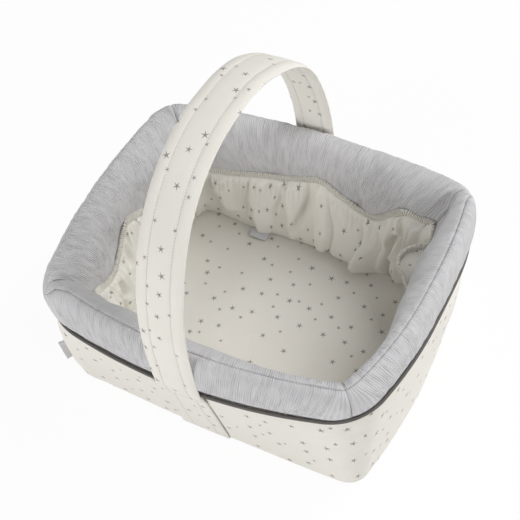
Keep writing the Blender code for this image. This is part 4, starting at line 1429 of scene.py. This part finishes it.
def makeCareTag():
    low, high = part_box("care_tag")
    x = np.linspace(low[0], high[0], 15)
    y = np.linspace(low[1] + careTag["back"], high[1] + careTag["back"], 11)
    x, y = np.meshgrid(x, y, indexing="ij")
    curl = careTag["curl"] * np.clip((y - low[1]) / (high[1] - low[1]), 0, 1) ** 2
    lift = curl + 0.0004 * np.sin((x - low[0]) * 300)
    grid = np.stack([x, y, low[2] + careTag["up"] + lift], -1)
    made = gridObject("careTag", grid, grid[..., :2], finishes["careTape"], thickness=careTag["cloth"])
    onBasket(made, "care_tag")


makeSideTag()
makeCareTag()

# Sections are closed lines of (inset, height), in metres
padding = {
    "skirt": (0.0020, 0.0074, np.linspace(0.0016, 0.1160, 20)),  # nearest and furthest inset, and the heights
    "board": (
        (0.0080, 0.0054), (0.0104, 0.0054), (0.0104, 0.1522),
        (0.0098, 0.1528), (0.0086, 0.1528), (0.0080, 0.1522),
    ),
    # Where the rim's wadding takes the board
    "slot": ((0.0113, 0.0052), (0.0113, 0.1536), (0.0076, 0.1536), (0.0076, 0.1195)),
    "skin": 0.0060,  # how far inside the rim's face its wadding starts
    "padInset": 0.0316,
    "padLow": 0.0049,
    "padRound": 0.008,
}


# A closed section swept along one side. The points marked in skin follow the rim's inner face
def sweptSide(name, side, section, finish, skin=False, reach=0.998):
    share = sideShares(side, 0.1, 0.01, 0.006)[:, None] * reach
    inset, z = section[None, :, 0], section[None, :, 1]
    follows = np.maximum(tucked(side, share, z, inset + padding["skin"]) - padding["skin"], 0.0098)
    inset = np.where(skin, follows, tucked(side, share, z, inset))
    grid = settled(planPoints(side, share, z, inset, tuck=False))
    return capped(name + side.capitalize(), grid, finishes[finish])


def makePadding():
    near, far, heights = padding["skirt"]
    outline = [np.stack([near + 0 * heights, heights], -1), np.stack([far + 0 * heights, heights], -1)[::-1]]
    skin = np.concatenate([rimOuterPath()[2:-3:3], rimInnerPath()[3::3]])
    skin = skin - sectionNormals(skin) * padding["skin"]
    section = np.concatenate([skin[skin[:, 1] > 0.0052], padding["slot"]])[::-1]
    onFace = (np.arange(len(section)) >= len(padding["slot"])) & (section[:, 0] > 0.012)
    for side in sideNames:
        skirtFill = sweptSide("skirtWadding", side, np.concatenate(outline)[::-1], "waddingFill")
        rimFill = sweptSide("rimWadding", side, section, "waddingFill", onFace, 0.965)
        for piece, node in ((skirtFill, "skirt_wadding_" + side), (rimFill, "rim_wadding_" + side)):
            onBasket(piece, node)
        # The wall boards carry painted shade for the gaps they show through
        board = sweptSide("wallBoard", side, np.array(padding["board"])[::-1], "boardCardAndShade")
        onBasket(board, "wall_board_" + side)
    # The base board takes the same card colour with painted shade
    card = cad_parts["base_board"].data.materials
    card.clear()
    card.append(finishes["boardCardAndShade"])


def makeBasePad():
    stations = ringStations(0.02, 0.032, 0.006)
    size, inset = padding["padRound"], padding["padInset"]
    levels = [(padding["padLow"], inset)]
    for t in np.linspace(0, math.pi / 2, 8):
        levels.append((basket["padTop"] - size * (1 - math.sin(t)), inset + size * (1 - math.cos(t))))
    rows = [settled(ringGrid(stations, *level))[:, 0] for level in levels]
    edge = rows[-1]
    for shrink in np.linspace(0.96, 0.04, 16):
        ring = edge * np.array((shrink, shrink, 1.0))
        ring[:, 2] = edge[:, 2] + crownHeight(ring[:, 0], ring[:, 1]) - 0.0008 * eased((1 - shrink) / 0.1)
        rows.append(ring)
    pad = capped("basePad", np.array(rows), finishes["waddingFill"])
    onBasket(pad, "base_pad")


makePadding()
makeBasePad()
print("padding made")


studio = {
    "lens": 83.08,
    "place": (0.44781332, -0.62065139, 1.0919282),
    "right": (0.88529333, 0.44962098, -0.11872949),
    "up": (-0.29231403, 0.73660923, 0.6098847),
    "skyLight": 0.23,
    "floorWhite": 0.94,
    "floorGrey": (0.86, 0.86, 0.86, 1.0),
    "floorSize": 6.0,
    "floorLevel": -0.0002,
    "lampSize": 1.4,
    "lampAim": (0, 0, 0.1),
    "lamps": {  # place and power in watts
        "leftLight": ((-1.1, -1.95, 0.75), 31.0),
        "windowLight": ((1.05, 1.3, 1.9), 37.5),
        "rightLight": ((1.75, -0.3, 1.3), 15.5),
    },
}


# 1 for the rays that look straight at a surface, 0 for those that light it
def seenDirectly(tree):
    path = addNode(tree, "ShaderNodeLightPath").outputs
    through = maths(tree, "MAXIMUM", path["Is Glossy Ray"], path["Is Transmission Ray"])
    return maths(tree, "MAXIMUM", path["Is Camera Ray"], through)


def makeFloor():
    size, level = studio["floorSize"], studio["floorLevel"]
    mesh = bpy.data.meshes.new("studioFloor")
    corners = [(x * size, y * size, level) for x, y in ((-1, -1), (1, -1), (1, 1), (-1, 1))]
    mesh.from_pydata(corners, [], [(0, 1, 2, 3)])
    finish, tree, shader = startMaterial("studioWhite", 0.95)
    shader.inputs["Base Color"].default_value = studio["floorGrey"]
    shader.inputs["Specular IOR Level"].default_value = 0.0
    glow = addNode(tree, "ShaderNodeEmission", {"Color": (1.0, 1.0, 1.0, 1.0), "Strength": 1.0})
    share = maths(tree, "MULTIPLY", seenDirectly(tree), studio["floorWhite"])
    both = addNode(tree, "ShaderNodeMixShader", {0: share, 1: shader.outputs[0], 2: glow.outputs[0]})
    tree.links.new(both.outputs[0], tree.nodes["Material Output"].inputs["Surface"])
    linkObject("studioFloor", mesh, finish)


def makeLight(name, place, power):
    lamp = bpy.data.lights.new(name, "AREA")
    lamp.shape = "SQUARE"
    lamp.size = studio["lampSize"]
    lamp.energy = power
    made = bpy.data.objects.new(name, lamp)
    made.location = place
    made.rotation_mode = "QUATERNION"
    made.rotation_quaternion = (Vector(studio["lampAim"]) - Vector(place)).to_track_quat("-Z", "Y")
    bpy.context.scene.collection.objects.link(made)


def makeStudio():
    makeFloor()
    world = bpy.data.worlds.new("studioSky")
    bpy.context.scene.world = world
    world.use_nodes = True
    tree = world.node_tree
    light = tree.nodes["Background"]
    light.inputs["Color"].default_value = (1.0, 1.0, 1.0, 1.0)
    strength = maths(tree, "MULTIPLY_ADD", seenDirectly(tree), 1.0 - studio["skyLight"], studio["skyLight"])
    tree.links.new(strength, light.inputs["Strength"])
    for name, (place, power) in studio["lamps"].items():
        makeLight(name, place, power)

    camera = bpy.data.objects.new("camera", bpy.data.cameras.new("camera"))
    right, up = Vector(studio["right"]), Vector(studio["up"])
    back = right.cross(up)
    turned = Matrix((right, up, back)).transposed().to_4x4()
    turned.translation = Vector(studio["place"])
    camera.matrix_world = turned
    camera.data.lens = studio["lens"]
    camera.data.sensor_width = 36.0
    bpy.context.scene.collection.objects.link(camera)
    bpy.context.scene.camera = camera
    bpy.context.scene.view_settings.view_transform = "Standard"


makeStudio()
